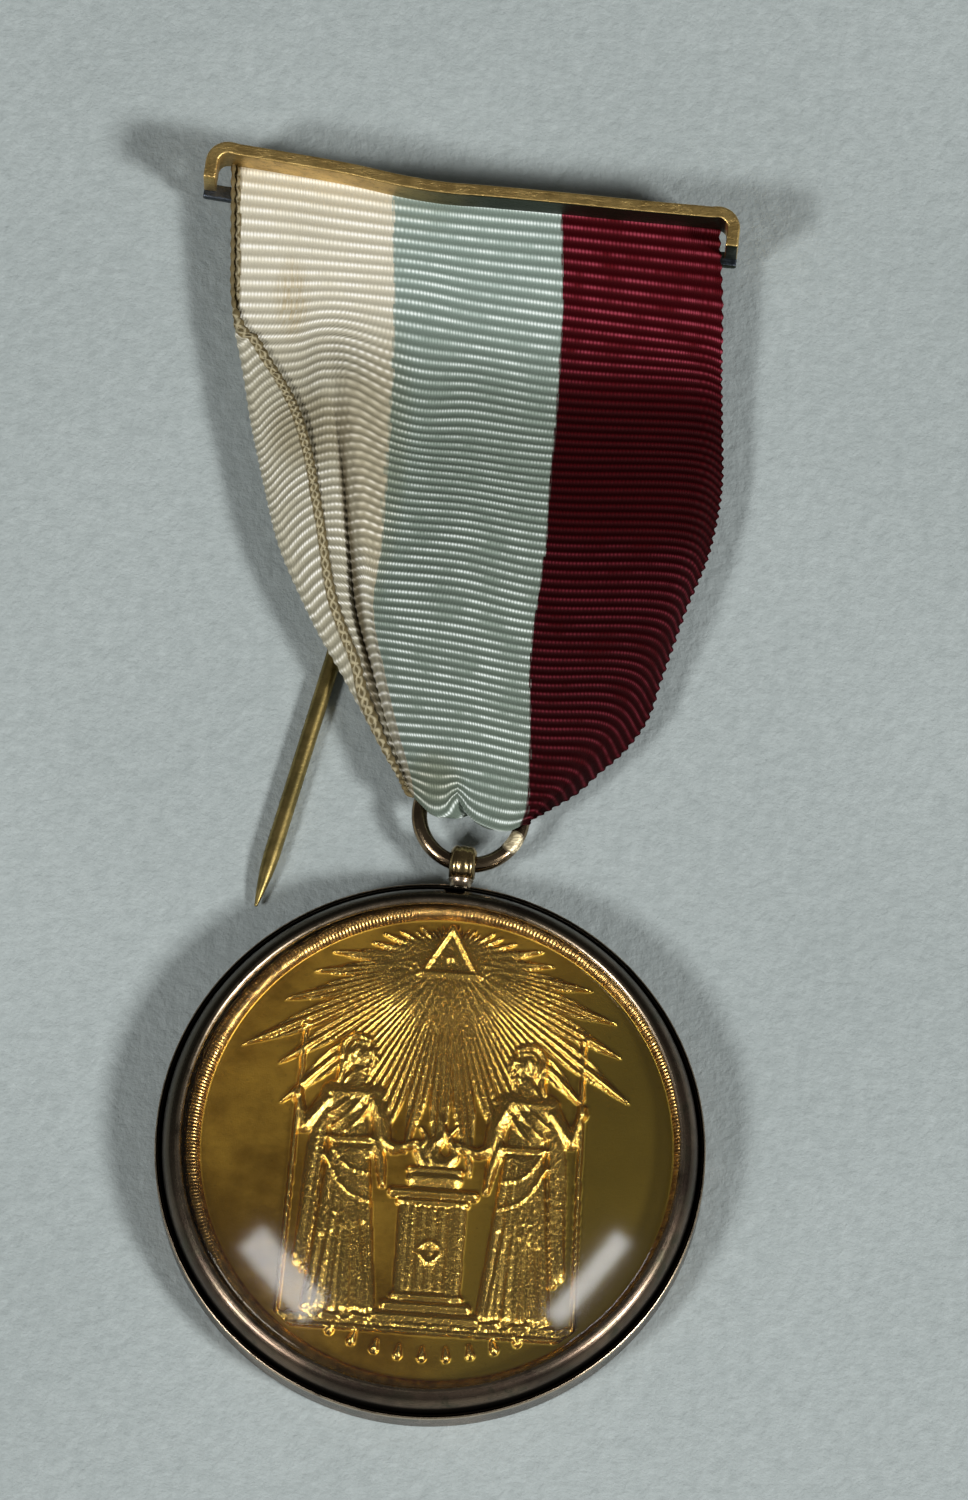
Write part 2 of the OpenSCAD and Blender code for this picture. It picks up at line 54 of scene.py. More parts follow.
def view_axes(azimuth, elevation, roll):
    """Right, up and backward axes of a camera that looks down at the table at an elevation, from an
    azimuth measured from -Y, and is then rolled about its own line of sight."""
    a, e, t = np.radians([azimuth, elevation, roll])
    backward = np.array([np.cos(e) * np.sin(a), -np.cos(e) * np.cos(a), np.sin(e)])
    level = np.cross(-backward, [0, 0, 1.0])
    level /= np.linalg.norm(level)
    rise = np.cross(level, -backward)
    right = level * np.cos(t) + rise * np.sin(t)
    return right, np.cross(backward, right), backward


camera_data = bpy.data.cameras.new("camera")
camera = bpy.data.objects.new("camera", camera_data)
bpy.context.scene.collection.objects.link(camera)
right, up, backward = view_axes(VIEW.azimuth, VIEW.elevation, VIEW.roll)
stand = (np.array(VIEW.aim) + VIEW.distance * backward) * MM
camera.matrix_world = Matrix([[right[i], up[i], backward[i], stand[i]] for i in range(3)] + [[0, 0, 0, 1]])
camera_data.sensor_fit = "VERTICAL"
camera_data.sensor_height = 36
camera_data.lens = VIEW.px_per_mm * VIEW.distance * camera_data.sensor_height / IMAGE_HEIGHT
camera_data.clip_start, camera_data.clip_end = 0.05, 20
bpy.context.scene.camera = camera


# Table and light. A pale grey-green sheet of card, lit by two soft boxes, one to each side of the
# photographer, with dim light from the room all round.
def skin(name, grid, material, loops=(False, False), caps=False, smooth=True, uv=None):
    """A mesh from a grid of points in millimetres: a quad between each four neighbours. Where a
    direction loops, its last line joins its first, and caps close the first and last row with a
    flat face each. A closed mesh that comes out with a negative volume is turned over. A UV map comes
    as a grid too, with one more line in a direction that loops."""
    rows, cols = grid.shape[:2]
    index = np.arange(rows * cols).reshape(rows, cols)
    if loops[0]:
        index = np.vstack([index, index[:1]])
    if loops[1]:
        index = np.hstack([index, index[:, :1]])
    quads = np.stack([index[:-1, :-1], index[:-1, 1:], index[1:, 1:], index[1:, :-1]], -1).reshape(-1, 4)
    points = np.asarray(grid, float).reshape(-1, 3)
    a, b, c, d = (points[quads[:, i]] for i in range(4))
    turned = np.einsum("ij,ij", a, np.cross(b, c)) + np.einsum("ij,ij", a, np.cross(c, d)) < 0
    if turned:
        quads = quads[:, ::-1]
        ends = [index[0, :cols], index[-1, :cols][::-1]]
    else:
        ends = [index[0, :cols][::-1], index[-1, :cols]]
    corners = np.concatenate([quads.ravel()] + (ends if caps else [])).astype(np.int32)
    sizes = np.array([4] * len(quads) + [cols] * (2 * caps), np.int32)
    mesh = bpy.data.meshes.new(name)
    mesh.vertices.add(len(points))
    mesh.vertices.foreach_set("co", (points * MM).ravel())
    mesh.loops.add(len(corners))
    mesh.loops.foreach_set("vertex_index", corners)
    mesh.polygons.add(len(sizes))
    mesh.polygons.foreach_set("loop_start", np.concatenate([[0], np.cumsum(sizes)[:-1]]).astype(np.int32))
    mesh.polygons.foreach_set("use_smooth", np.full(len(sizes), smooth))
    if uv is not None:
        around = np.stack([uv[:-1, :-1], uv[:-1, 1:], uv[1:, 1:], uv[1:, :-1]], 2).reshape(-1, 4, 2)
        around = around[:, ::-1] if turned else around
        mesh.uv_layers.new(name="weave").uv.foreach_set("vector", around.astype(np.float32).ravel())
    mesh.materials.append(material)
    mesh.update(calc_edges=True)
    mesh.validate()
    piece = bpy.data.objects.new(name, mesh)
    bpy.context.scene.collection.objects.link(piece)
    return piece


class Tone:
    """A shader value: one socket in a material's tree. Sums and products of tones add Math nodes,
    and node() adds any other node from its type, its settings and the values of its sockets."""

    def __init__(self, tree, socket=None):
        self.tree, self.socket = tree, socket

    def node(self, kind, settings=None, inputs=None, out=0):
        made = self.tree.nodes.new("ShaderNode" + kind)
        for key, value in (settings or {}).items():
            if key == "stops":
                ramp = made.color_ramp
                while len(ramp.elements) < len(value):
                    ramp.elements.new(0.5)
                for element, (at, colour) in zip(ramp.elements, value):
                    element.position = at
                    element.color = (*colour, 1)
            else:
                setattr(made, key, value)
        for key, value in (inputs or {}).items():
            if isinstance(value, Tone):
                self.tree.links.new(value.socket, made.inputs[key])
            elif value is not None:
                made.inputs[key].default_value = value
        return Tone(self.tree, made.outputs[out])

    def math(self, operation, other=None):
        return self.node("Math", {"operation": operation}, {0: self, 1: other})

    def __add__(self, other): return self.math("ADD", other)
    def __sub__(self, other): return self.math("SUBTRACT", other)
    def __rsub__(self, other): return self.node("Math", {"operation": "SUBTRACT"}, {0: other, 1: self})
    def __mul__(self, other): return self.math("MULTIPLY", other)
    def __truediv__(self, other): return self.math("DIVIDE", other)
    def __pow__(self, other): return self.math("POWER", other)
    __radd__, __rmul__ = __add__, __mul__

    def step(self, low, high):
        """Rises smoothly from 0 at low to 1 at high."""
        return self.node("MapRange", {"interpolation_type": "SMOOTHSTEP"},
                         {"Value": self, "From Min": low, "From Max": high})

    def blend(self, first, second):
        """The first colour where the tone is 0 and the second where it is 1."""
        return self.mix("MIX", first, second)

    def stain(self, colour, stain):
        """The colour where the tone is 0, and its product with the stain where the tone is 1 or more."""
        return self.math("MINIMUM", 1.0).mix("MULTIPLY", colour, stain)

    def mix(self, way, *colours):
        rgba = [c if isinstance(c, Tone) else (*c, 1) for c in colours]
        return self.node("Mix", {"data_type": "RGBA", "blend_type": way},
                         {0: self, 6: rgba[0], 7: rgba[1]}, 2)

    def noise(self, scale, detail=2, roughness=0.5, stretch=(1, 1, 1)):
        """Cloudy noise about 0.5, at so many waves to the millimetre of the vector given."""
        at = self.node("VectorMath", {"operation": "MULTIPLY"}, {0: self, 1: stretch})
        return self.node("TexNoise", {}, {"Vector": at, "Scale": scale, "Detail": detail,
                                          "Roughness": roughness})

    def parts(self):
        """The three parts of a vector."""
        split = self.node("SeparateXYZ", {}, {0: self})
        return [Tone(self.tree, split.socket.node.outputs[i]) for i in range(3)]


def finish(name, **fixed):
    """A new material and its shader. Fixed numbers go straight on the shader's sockets. The tone
    that comes with them gives the place on the piece in millimetres."""
    material = bpy.data.materials.new(name)
    material.use_nodes = True
    shader = material.node_tree.nodes["Principled BSDF"]
    for key, value in fixed.items():
        shader.inputs[key.replace("_", " ")].default_value = value
    tone = Tone(material.node_tree)
    place = tone.node("TexCoord", out=3)
    place = tone.node("VectorMath", {"operation": "SCALE"}, {0: place, "Scale": 1 / MM})
    return material, shader, place


def feed(shader, relief=None, depth=0.05, **tones):
    """Links tones to a shader's sockets, and to its normal a relief in shares of a depth in
    millimetres."""
    tree = shader.id_data
    for key, tone in tones.items():
        tree.links.new(tone.socket, shader.inputs[key.replace("_", " ")])
    if relief is not None:
        bump = relief.node("Bump", {}, {"Height": relief, "Distance": depth * MM, "Strength": 1.0})
        tree.links.new(bump.socket, shader.inputs["Normal"])


card, shader, place = finish("card", Roughness=0.75, Specular_IOR_Level=0.2)
pulp = place.noise(0.02, 3) * 0.45 + place.noise(0.8, 4, 0.7, (1.0, 0.6, 1.0)) * 0.55
feed(shader, relief=place.noise(0.9, 5, 0.65), depth=0.22,
     Base_Color=pulp.step(0.32, 0.68).blend((0.38, 0.427, 0.421), (0.46, 0.512, 0.505)))
CARD_HALF, CARD_Z = 1500, 0.0
corner = np.array([-CARD_HALF, CARD_HALF])
floor = skin("floor", np.stack(np.broadcast_arrays(corner[None, :], corner[:, None], CARD_Z), -1), card)

# Direction of each light, direction of its long side, size in metres, distance, watts. The keys
# stand low at the photographer's sides. The panels are their bright upper edges, which only the
# polished parts show. All are aimed at one place, in metres.
LIT_PLACE = np.array([0, 0, 0.005])
LIGHTS = {
    "key_left": ((-0.64, -0.38, 0.64), (0.6, -0.8, 0.15), (0.80, 0.66), 4.0, 88.0),
    "key_right": ((0.68, -0.38, 0.61), (-0.6, -0.8, 0.15), (0.72, 0.62), 4.0, 128.0),
    "panel_left": ((-0.44, -0.166, 0.882), (0.6, -0.8, 0.15), (0.18, 0.06), 0.6, 0.17),
    "panel_right": ((0.471, -0.174, 0.865), (-0.6, -0.8, 0.15), (0.20, 0.035), 0.6, 0.13)}
for name, (toward, along, size, away, watts) in LIGHTS.items():
    light = bpy.data.lights.new(name, "AREA")
    light.shape, light.size, light.size_y, light.energy = "RECTANGLE", *size, watts
    lamp = bpy.data.objects.new(name, light)
    lamp.visible_diffuse = name.startswith("key")
    bpy.context.scene.collection.objects.link(lamp)
    z = np.array(toward) / np.linalg.norm(toward)
    x = np.array(along) - z * (z @ np.array(along))
    x /= np.linalg.norm(x)
    y = np.cross(z, x)
    at = z * away + LIT_PLACE
    lamp.matrix_world = Matrix([[x[i], y[i], z[i], at[i]] for i in range(3)] + [[0, 0, 0, 1]])

# The room is dark overhead, where the photographer leans over the table, and lighter all round
room = bpy.data.worlds.new("room")
bpy.context.scene.world = room
room.use_nodes = True
sky = Tone(room.node_tree).node("TexCoord", out=0).parts()
room_light = room.node_tree.nodes["Background"]
glow = (0.45 - sky[1] * 0.75 - sky[2] * 0.35).step(0.0, 0.85).blend((0.06, 0.06, 0.058), (0.11, 0.115, 0.118))
room.node_tree.links.new(glow.socket, room_light.inputs["Color"])
room_light.inputs["Strength"].default_value = 1.0
bpy.context.scene.view_settings.view_transform = "Standard"


# Pin bar. A strip of cast brass bent down into a leg at each end, pitted and darkened in its
# grain. A flat steel rail is soldered across the backs of its legs, and a long brass prong
# comes out of the middle of its back, bends down and lies behind the ribbon.
STRIP = Sizes(length=48.6, thick=1.1, leg=3.7, bend=1.45, z=(3.5, 7.3), soft=0.16)
RAIL = Sizes(length=48.6, top=-2.9, height=1.35, z=(2.7, 3.5), soft=0.2)
PRONG = Sizes(root=(3.68, 88.03), into=1.85, z=0.75, along=(-0.284015, -0.95882), length=68.4, taper=6.0,
              blunt=0.095, r_root=0.65, swells_by=20, r=0.75, r_tip=0.15, bend=1.0)
BAR = Sizes(x=3.9, y=89.64, lean=7.8, dip=1.1)
BAR_ROWS = 220
# Place along the bar and how far it has been bent down there, as shares of length and dip
BEND = np.array([[-0.5, 0], [-0.37, 0.2], [-0.23, 0.5], [-0.12, 0.93], [-0.05, 1], [0.02, 0.84],
                 [0.17, 0.56], [0.31, 0.36], [0.45, 0.08], [0.5, 0]])


def through(x, xs, ys):
    """A smooth curve through the points (xs, ys): on each stretch a cubic whose slope at a point is
    the mean slope of its neighbours. ys may have further columns."""
    xs, ys = np.asarray(xs, float), np.asarray(ys, float)
    slope = np.gradient(ys, xs, axis=0)
    x = np.clip(x, xs[0], xs[-1])
    i = np.clip(np.searchsorted(xs, x, side="right") - 1, 0, len(xs) - 2)
    h = xs[i + 1] - xs[i]
    t = (x - xs[i]) / h
    if ys.ndim > 1:
        h, t = h[:, None], t[:, None]
    return ((1 + 2 * t) * (1 - t) ** 2 * ys[i] + t * (1 - t) ** 2 * h * slope[i]
            + t * t * (3 - 2 * t) * ys[i + 1] + t * t * (t - 1) * h * slope[i + 1])


def on_bar(u, v):
    """Place on the table of a point u along the bar and v up from the top of its middle."""
    c, s = np.cos(np.radians(BAR.lean)), np.sin(np.radians(BAR.lean))
    return np.stack([BAR.x + u * c + v * s, BAR.y - u * s + v * c], -1)


def dip(u):
    return BAR.dip * through(u / STRIP.length, BEND[:, 0], BEND[:, 1])


def eased(corners, steps=5):
    """An outline whose corners (x, y, radius) are cut by smooth curves. A curve runs from one
    radius before the corner to one radius after it, with one more point beyond each end."""
    corners = np.asarray(corners, float)
    out = []
    for before, at, after in zip(np.roll(corners, 1, 0), corners, np.roll(corners, -1, 0)):
        if at[2] == 0:
            out.append(at[None, :2])
            continue
        a, b = before[:2] - at[:2], after[:2] - at[:2]
        a, b = a / np.linalg.norm(a) * at[2], b / np.linalg.norm(b) * at[2]
        t = np.linspace(0, 1, steps)[:, None]
        out += [at[None, :2] + 1.5 * a, at[:2] + a * (1 - t) ** 2 + b * t ** 2, at[None, :2] + 1.5 * b]
    return np.concatenate(out)


def swept(path, across, upward, outline, scale=1.0):
    """An outline carried along a path: each of its points (x, y) is the path's point plus x times
    the direction across, plus y times the direction upward, both times the scale there."""
    scale = np.broadcast_to(scale, len(path))[:, None, None]
    across, upward = (np.broadcast_to(way, path.shape)[:, None] for way in (across, upward))
    x, y = outline[None, :, :1], outline[None, :, 1:]
    return path[:, None] + scale * (x * across + y * upward)


def round_line(count, radius=1.0):
    """Points evenly spaced round a circle: the cosine and the sine of the angle, times the radius."""
    t = np.linspace(0, 2 * np.pi, count + 1)[:-1]
    return radius * np.c_[np.cos(t), np.sin(t)]


def along_bar(line, thick, z, soft):
    """A bar of rectangular section along a line (u, v) in the plane of the table. The section is
    narrowed a little at the first and last rows, so that the ends have soft edges."""
    way = np.r_[0, np.cumsum(np.linalg.norm(np.diff(line, axis=0), axis=1))]
    ends = np.r_[0, 0.35 * soft, soft, 1.6 * soft]
    rows = np.r_[ends, np.linspace(3 * soft, way[-1] - 3 * soft, BAR_ROWS), way[-1] - ends[::-1]]
    middle = through(rows, way, line)
    turn = np.gradient(middle, rows, axis=0)
    turn /= np.linalg.norm(turn, axis=1)[:, None]
    flat = on_bar(middle[:, 0], middle[:, 1])
    side = on_bar(middle[:, 0] - turn[:, 1], middle[:, 1] + turn[:, 0]) - flat
    height = (z[0] + z[1]) / 2
    path = np.c_[flat, np.full(len(flat), height)]
    w, h = thick / 2, (z[1] - z[0]) / 2
    outline = eased([[-w, -h, soft], [w, -h, soft], [w, h, soft], [-w, h, soft]])
    shrink = 1 - 0.5 * soft / w * np.clip(1 - np.minimum(rows, way[-1] - rows) / soft, 0, 1) ** 2
    return swept(path, np.c_[side, np.zeros(len(side))], [0, 0, 1], outline, shrink)


def brass(name, high, low, dark, pit=1.0, shadow=1.0, **fixed):
    """Old cast brass: patches between two tones, dark in the pits and the long grain, with the
    bright places smoother than the dark ones."""
    material, shader, place = finish(name, Metallic=1.0, **fixed)
    cloud = place.noise(0.55, 4, 0.6)
    grain = place.noise(1.6, 5, 0.7, (0.5, 1.6, 1.0))
    pits = place.noise(4.5, 3, 0.6)
    shade = cloud.step(0.35, 0.65).blend(low, high)
    stain = grain.step(0.5, 0.75) * 0.5 + pits.step(0.56, 0.74) * 0.5 * pit
    # painted shade: the side that looks down the ribbon is darkened to a dark green, more on the right than
    # on the left
    _, under, _ = place.node("TexCoord", out=1).parts()
    under = (0 - under).step(0.35, 0.75) * (0.3 + 0.7 * place.parts()[0].step(-9.0, 6.0)) * shadow
    tone = under.blend(stain.blend(shade, dark), (0.035, 0.042, 0.026))
    feed(shader, relief=pits * 0.8 - grain.step(0.45, 0.75) * 0.3, depth=0.055 * pit, Base_Color=tone,
         Roughness=0.38 + stain * 0.22 + under * 0.1)
    return material


BAR_BRASS = brass("bar_brass", (0.95, 0.66, 0.24), (0.66, 0.44, 0.15), (0.08, 0.055, 0.02))
RAIL_STEEL = brass("rail_steel", (0.10, 0.115, 0.14), (0.05, 0.06, 0.075), (0.015, 0.016, 0.02))
PRONG_BRASS = brass("prong_brass", (0.42, 0.31, 0.11), (0.26, 0.20, 0.07), (0.06, 0.05, 0.02), 0.3, 0.0)

leg_u = STRIP.length / 2 - STRIP.thick / 2
bend = STRIP.bend
turn = np.radians(np.linspace(180, 90, 10))
left = np.c_[-leg_u + bend + bend * np.cos(turn), -STRIP.thick / 2 - bend + bend * np.sin(turn)]
flat_u = np.linspace(-leg_u + bend, leg_u - bend, 60)[1:-1]
leg_v = np.linspace(-STRIP.leg, left[0, 1], 4)[:-1]
line = np.r_[np.c_[np.full(3, -leg_u), leg_v], left, np.c_[flat_u, -STRIP.thick / 2 - dip(flat_u)],
             left[::-1] * [-1, 1], np.c_[np.full(3, leg_u), leg_v[::-1]]]
strip = skin("bar_strip", along_bar(line, STRIP.thick, STRIP.z, STRIP.soft), BAR_BRASS,
             (False, True), caps=True)
rail_u = np.linspace(-0.5, 0.5, 60) * RAIL.length
line = np.c_[rail_u, RAIL.top - RAIL.height / 2 - dip(rail_u)]
rail = skin("bar_rail", along_bar(line, RAIL.height, RAIL.z, RAIL.soft), RAIL_STEEL,
            (False, True), caps=True)

# The prong's middle line: down out of the strip, round a bend, and straight to the point. It is as
# thick as its root at first, and its taper follows a sine to a blunt point.
shank = PRONG.length - PRONG.taper
way = np.r_[np.linspace(-PRONG.into, -0.05, 12), np.linspace(0, 1, 12) * np.pi / 2 * PRONG.bend,
            np.linspace(2.0, shank, 60),
            PRONG.length - PRONG.taper * np.linspace(0.97, 0.04, 24) ** 1.6,
            PRONG.length + np.array([0, 0.07, 0.1])]
angle = np.clip(way / PRONG.bend, 0, np.pi / 2)
ahead = PRONG.bend * (1 - np.cos(angle)) + np.maximum(way - np.pi / 2 * PRONG.bend, 0)
fall = PRONG.z + PRONG.bend * (1 - np.sin(angle)) - np.minimum(way, 0)
along = np.array([*PRONG.along, 0])
path = np.array([*PRONG.root, 0]) + ahead[:, None] * along + fall[:, None] * [0, 0, 1]
to_tip = np.clip((PRONG.length - ahead) / PRONG.taper, PRONG.blunt, 1)
taper = np.sin(np.pi / 2 * (to_tip - PRONG.blunt) / (1 - PRONG.blunt))
swell = np.clip(ahead / PRONG.swells_by, 0, 1)
radius = np.minimum(PRONG.r_tip + (PRONG.r - PRONG.r_tip) * taper,
                    PRONG.r_root + (PRONG.r - PRONG.r_root) * swell)
radius[-3:] *= [0.95, 0.6, 0.1]
heading = np.cos(angle)[:, None] * [0, 0, -1] + np.sin(angle)[:, None] * along
side = np.array([along[1], -along[0], 0])
prong = skin("bar_prong", swept(path, side, np.cross(heading, side), round_line(40), radius),
             PRONG_BRASS, (False, True), caps=True)
for piece in (strip, rail, prong):
    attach(piece, "root")
    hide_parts("brooch_bar")


# Ribbon. Ribbed silk in three woven stripes, white, pale blue and crimson, sewn into a loop that
# goes over the rail and through the ring. Its left margin is folded over the front, the white
# stripe is pleated under the blue one, and the right margin turns down to the table.
CLOTH = Sizes(width=44.5, length=131.0, thick=0.3, rib=0.95, rib_h=0.1, edge_wave=0.16)
STRIPES = (0.327, 0.673)
# Lines along the front, in millimetres at the blue stripe's middle. Columns: y, then x of the
# left outline, selvedge of the flap, pleat, white/blue, blue/crimson, crease, right outline
LINES = np.array([
    [91.5, -17.9, -17.7, -7.9, -3.6, 11.7, 24.3, 26.0],
    [84.0, -17.9, -17.7, -7.9, -3.5, 11.7, 24.3, 26.0],
    [78.4, -17.8, -17.5, -7.9, -3.5, 11.8, 24.3, 26.2],
    [72.7, -16.7, -15.0, -7.8, -3.5, 11.5, 24.1, 26.1],
    [67.0, -15.8, -12.5, -7.3, -3.8, 11.1, 24.1, 26.1],
    [61.2, -14.6, -10.8, -6.8, -4.1, 10.6, 23.8, 26.0],
    [55.3, -13.1, -9.7, -6.5, -4.5, 10.2, 22.8, 24.8],
    [49.5, -10.6, -8.6, -6.2, -5.2, 9.4, 20.9, 22.5],
    [43.8, -7.6, -6.4, -4.9, -4.2, 8.8, 18.4, 20.6],
    [38.3, -4.8, -4.1, -3.5, -2.9, 8.8, 15.7, 18.4],
    [33.9, -2.8, -2.4, -2.2, -1.8, 8.7, 12.6, 14.0],
    [30.4, -1.9, -1.8, -1.6, -1.3, 8.3, 9.4, 10.0],
    [28.6, -1.4, -1.3, -1.1, -0.9, 7.6, 8.1, 8.5]])
# Number of the rib that crosses the middle at each of those y
RIBS = np.array([-1.5, 5.6, 11.3, 17.1, 23.6, 31.1, 38.7, 45.6, 52.7, 59.4, 64.5, 68.5, 70.6])
# Heights at the same y: left outline, middle of the white, pleat, white/blue, blue's middle,
# blue/crimson, crease, right outline
HEIGHTS = np.array([
    [4.1, 4.1, 4.1, 4.1, 4.1, 4.1, 4.1, 4.0],
    [3.9, 3.9, 3.9, 3.8, 3.8, 3.9, 3.9, 3.7],
    [3.5, 3.4, 3.5, 3.3, 3.3, 3.5, 3.6, 3.3],
    [3.1, 2.9, 3.2, 2.9, 2.9, 3.1, 3.3, 3.0],
    [3.0, 3.2, 4.2, 3.3, 3.4, 3.5, 3.6, 2.8],
    [2.9, 3.9, 4.7, 3.9, 4.6, 4.5, 4.1, 2.7],
    [2.9, 3.9, 4.7, 4.4, 5.7, 5.4, 4.6, 2.6],
    [2.9, 3.7, 4.4, 4.6, 6.2, 5.9, 4.9, 2.5],
    [2.9, 3.5, 4.0, 4.5, 6.1, 6.0, 4.9, 2.4],
    [3.0, 3.4, 3.8, 4.2, 5.6, 5.5, 4.8, 2.4],
    [3.4, 3.6, 3.8, 4.0, 5.0, 4.9, 4.4, 2.8],
    [3.9, 3.9, 3.95, 4.0, 4.4, 4.3, 4.0, 3.9],
    [3.9, 3.9, 3.95, 4.0, 4.2, 4.1, 4.0, 3.95]])
# How steeply the ribs fall to the right at the same y: left outline to pleat, pleat to blue, in
# the blue, in the crimson, right of the crease
FALLS = np.array([
    [0.13, 0.13, 0.13, 0.13, 0.13], [0.13, 0.13, 0.13, 0.13, 0.13], [0.00, 0.10, 0.18, 0.14, 0.2],
    [-0.08, 0.30, 0.16, 0.08, 0.3], [-0.16, 0.40, 0.15, 0.05, 0.4], [-0.05, 0.30, 0.16, 0.03, 0.5],
    [0.10, 0.15, 0.18, 0.02, 0.7], [0.15, 0.20, 0.20, 0.02, 0.9], [0.20, 0.20, 0.22, 0.03, 1.0],
    [0.22, 0.20, 0.20, 0.08, 1.0], [0.25, 0.20, 0.20, 0.18, 0.9], [0.25, 0.20, 0.20, 0.25, 0.5],
    [0.25, 0.20, 0.20, 0.25, 0.4]])
FLAP_COLS, KNOTS = 11, np.array([0, 8, 16, 20, 31, 42, 57, 66])
COLUMNS, MIDDLE_COLUMN = np.arange(KNOTS[-1] + 1), 36
PER_RIB, BACK_PER_RIB = 6, 2
TURN_TOP, TURN_RIBS = -3.0, 4
# The back: its ribs, how much narrower it is on each side, its height, the height and y of its end at
# the ring, from what share of its length and over what share it sinks to there, and the throat that
# it is gathered to
BACK = Sizes(ribs=62, inset=0.9, z=2.1, ring_z=1.55, ring_y=32.6, sinks=(0.76, 0.14), throat_x=3.571,
             throat_half=3.1, throat_from=0.8)
# Margin that is folded over: direction its ribs turn to, radius of the roll, height of its
# selvedge, and its least width. It opens over a first reach, its roll is full from a width on over
# some more, and its ribs rise by shares near the fold that fall towards the selvedge.
FLAP_DIR, FLAP_R, FLAP_LOW, FLAP_LEAST = np.radians(46.0), 0.45, 0.42, 0.25
FLAP_OPENS, FLAP_FULL, FLAP_RISE = 1.2, (0.8, 1.5), (1.3, 0.5)
# Sharpness of the pleat at heights y on the table: its ridge and the valley on its left
PLEAT = np.array([[30, 0], [36, 0.5], [45, 0.9], [57, 1.0], [66, 0.8], [72, 0.15], [76, 0]])
# Lowest line of the bight, x and y: two lobes with a notch between them where the cloth is pinched
FOOT = np.array([[-1.9, 32.2], [-1.0, 31.2], [0.1, 30.2], [1.2, 30.3], [2.3, 31.8], [3.3, 30.3],
                 [5.2, 29.1], [7.2, 28.8], [8.6, 29.5]])
FOOT_REACH, FOOT_ABOVE = 0.8, 0.55
# The pleat across the web: height, column and width in columns of its ridge and of its valley
PLEAT_FORM = ((0.7, 17.0, 1.5), (-1.0, 14.2, 1.2))
# Waves in the ribs: height, and the phase for each millimetre across, for each rib and at the start
RIPPLES = ((0.07, 0.5, 0.31, 0), (0.05, 1.1, -0.47, 1))
# Ribs that follow the rail at the top, and the rib from which the rest follow the foot
TOP_RIBS, SETTLE_FROM = 9, 63.5
HALVINGS = 14


def spread(values):
    """Values at the knots across the web, carried smoothly to every column."""
    return through(COLUMNS, KNOTS, np.asarray(values).T).T


def top_line(x):
    """Height on the table, along Y, of the ribbon's turn over the rail."""
    u = (x - BAR.x) / np.cos(np.radians(BAR.lean))
    return on_bar(u, TURN_TOP - dip(u))[..., 1]


def front_web(rib):
    """Places and shares of the ribbon's width on the front, from the left fold to the right edge, and
    the width of the margin that is folded over. A row is a rib. Its middle lies at the table's y,
    and it falls away to both sides by the table's slopes. The lines across are looked up at the
    height where a row meets them, by halving the error again and again. Rows near the rail
    follow the rail instead, and rows near the ring the lowest line of the bight."""
    y = through(rib, RIBS, LINES[:, 0])
    fall = through(rib, RIBS, FALLS)[:, [0, 0, 1, 2, 2, 3, 4]]
    near = np.clip(1 - (rib - RIBS[0]) / TOP_RIBS, 0, 1)[:, None] ** 1.5
    rows = np.tile(y[:, None], 8)
    for _ in range(HALVINGS):
        left, hem, pleat, white, crimson, crease, right = (
            through(rows[:, k], LINES[::-1, 0], LINES[::-1, 1 + c])
            for c, k in enumerate((0, 0, 2, 3, 5, 6, 7)))
        x = np.stack([left, (left + pleat) / 2, pleat, white, (white + crimson) / 2, crimson, crease,
                      right], -1)
        drop = np.c_[0 * y, np.cumsum(fall * np.diff(x, axis=1), axis=1)]
        at_top = top_line(x)
        fallen = y[:, None] - (1 - near) * (drop - drop[:, 4:5]) + near * (at_top - at_top[:, 4:5])
        rows = (rows + fallen) / 2
    ripple = sum(h * np.sin(a * x + b * rib[:, None] + c) for h, a, b, c in RIPPLES)
    web = np.stack([spread(x), spread(rows + ripple * (1 - near)), spread(through(rib, RIBS, HEIGHTS))], -1)
    settle = np.clip((rib - SETTLE_FROM) / (rib[-1] - SETTLE_FROM), 0, 1)[:, None] ** 1.6
    web[..., 1] += settle * (through(web[-1, :, 0], FOOT[:, 0], FOOT[:, 1]) + FOOT_ABOVE - web[-1, :, 1])
    sharp = through(y, PLEAT[:, 0], PLEAT[:, 1])[:, None]
    web[..., 2] += sharp * sum(h * np.exp(-((COLUMNS - at) / wide) ** 2) for h, at, wide in PLEAT_FORM)
    opened = np.clip((hem - left) / FLAP_OPENS, 0, 1)
    flap = FLAP_LEAST + ((hem - left) / np.cos(FLAP_DIR) + np.pi * FLAP_R - FLAP_LEAST) * opened
    u_left = flap / CLOTH.width
    u_pleat = np.minimum(u_left + (pleat - left) / CLOTH.width, STRIPES[0] - 0.02)
    u_crease = np.clip(STRIPES[1] + (crease - crimson) / CLOTH.width, 0, 0.97)
    one = np.ones_like(y)
    u = np.stack([u_left, (u_left + u_pleat) / 2, u_pleat, one * STRIPES[0], one * sum(STRIPES) / 2,
                  one * STRIPES[1], u_crease, one], -1)
    return web, through_knots(u), flap


def through_knots(u):
    """Shares of the width at every column, straight between the knots."""
    i = np.clip(np.searchsorted(KNOTS, COLUMNS, side="right") - 1, 0, len(KNOTS) - 2)
    t = (COLUMNS - KNOTS[i]) / (KNOTS[i + 1] - KNOTS[i])
    return u[:, i] * (1 - t) + u[:, i + 1] * t


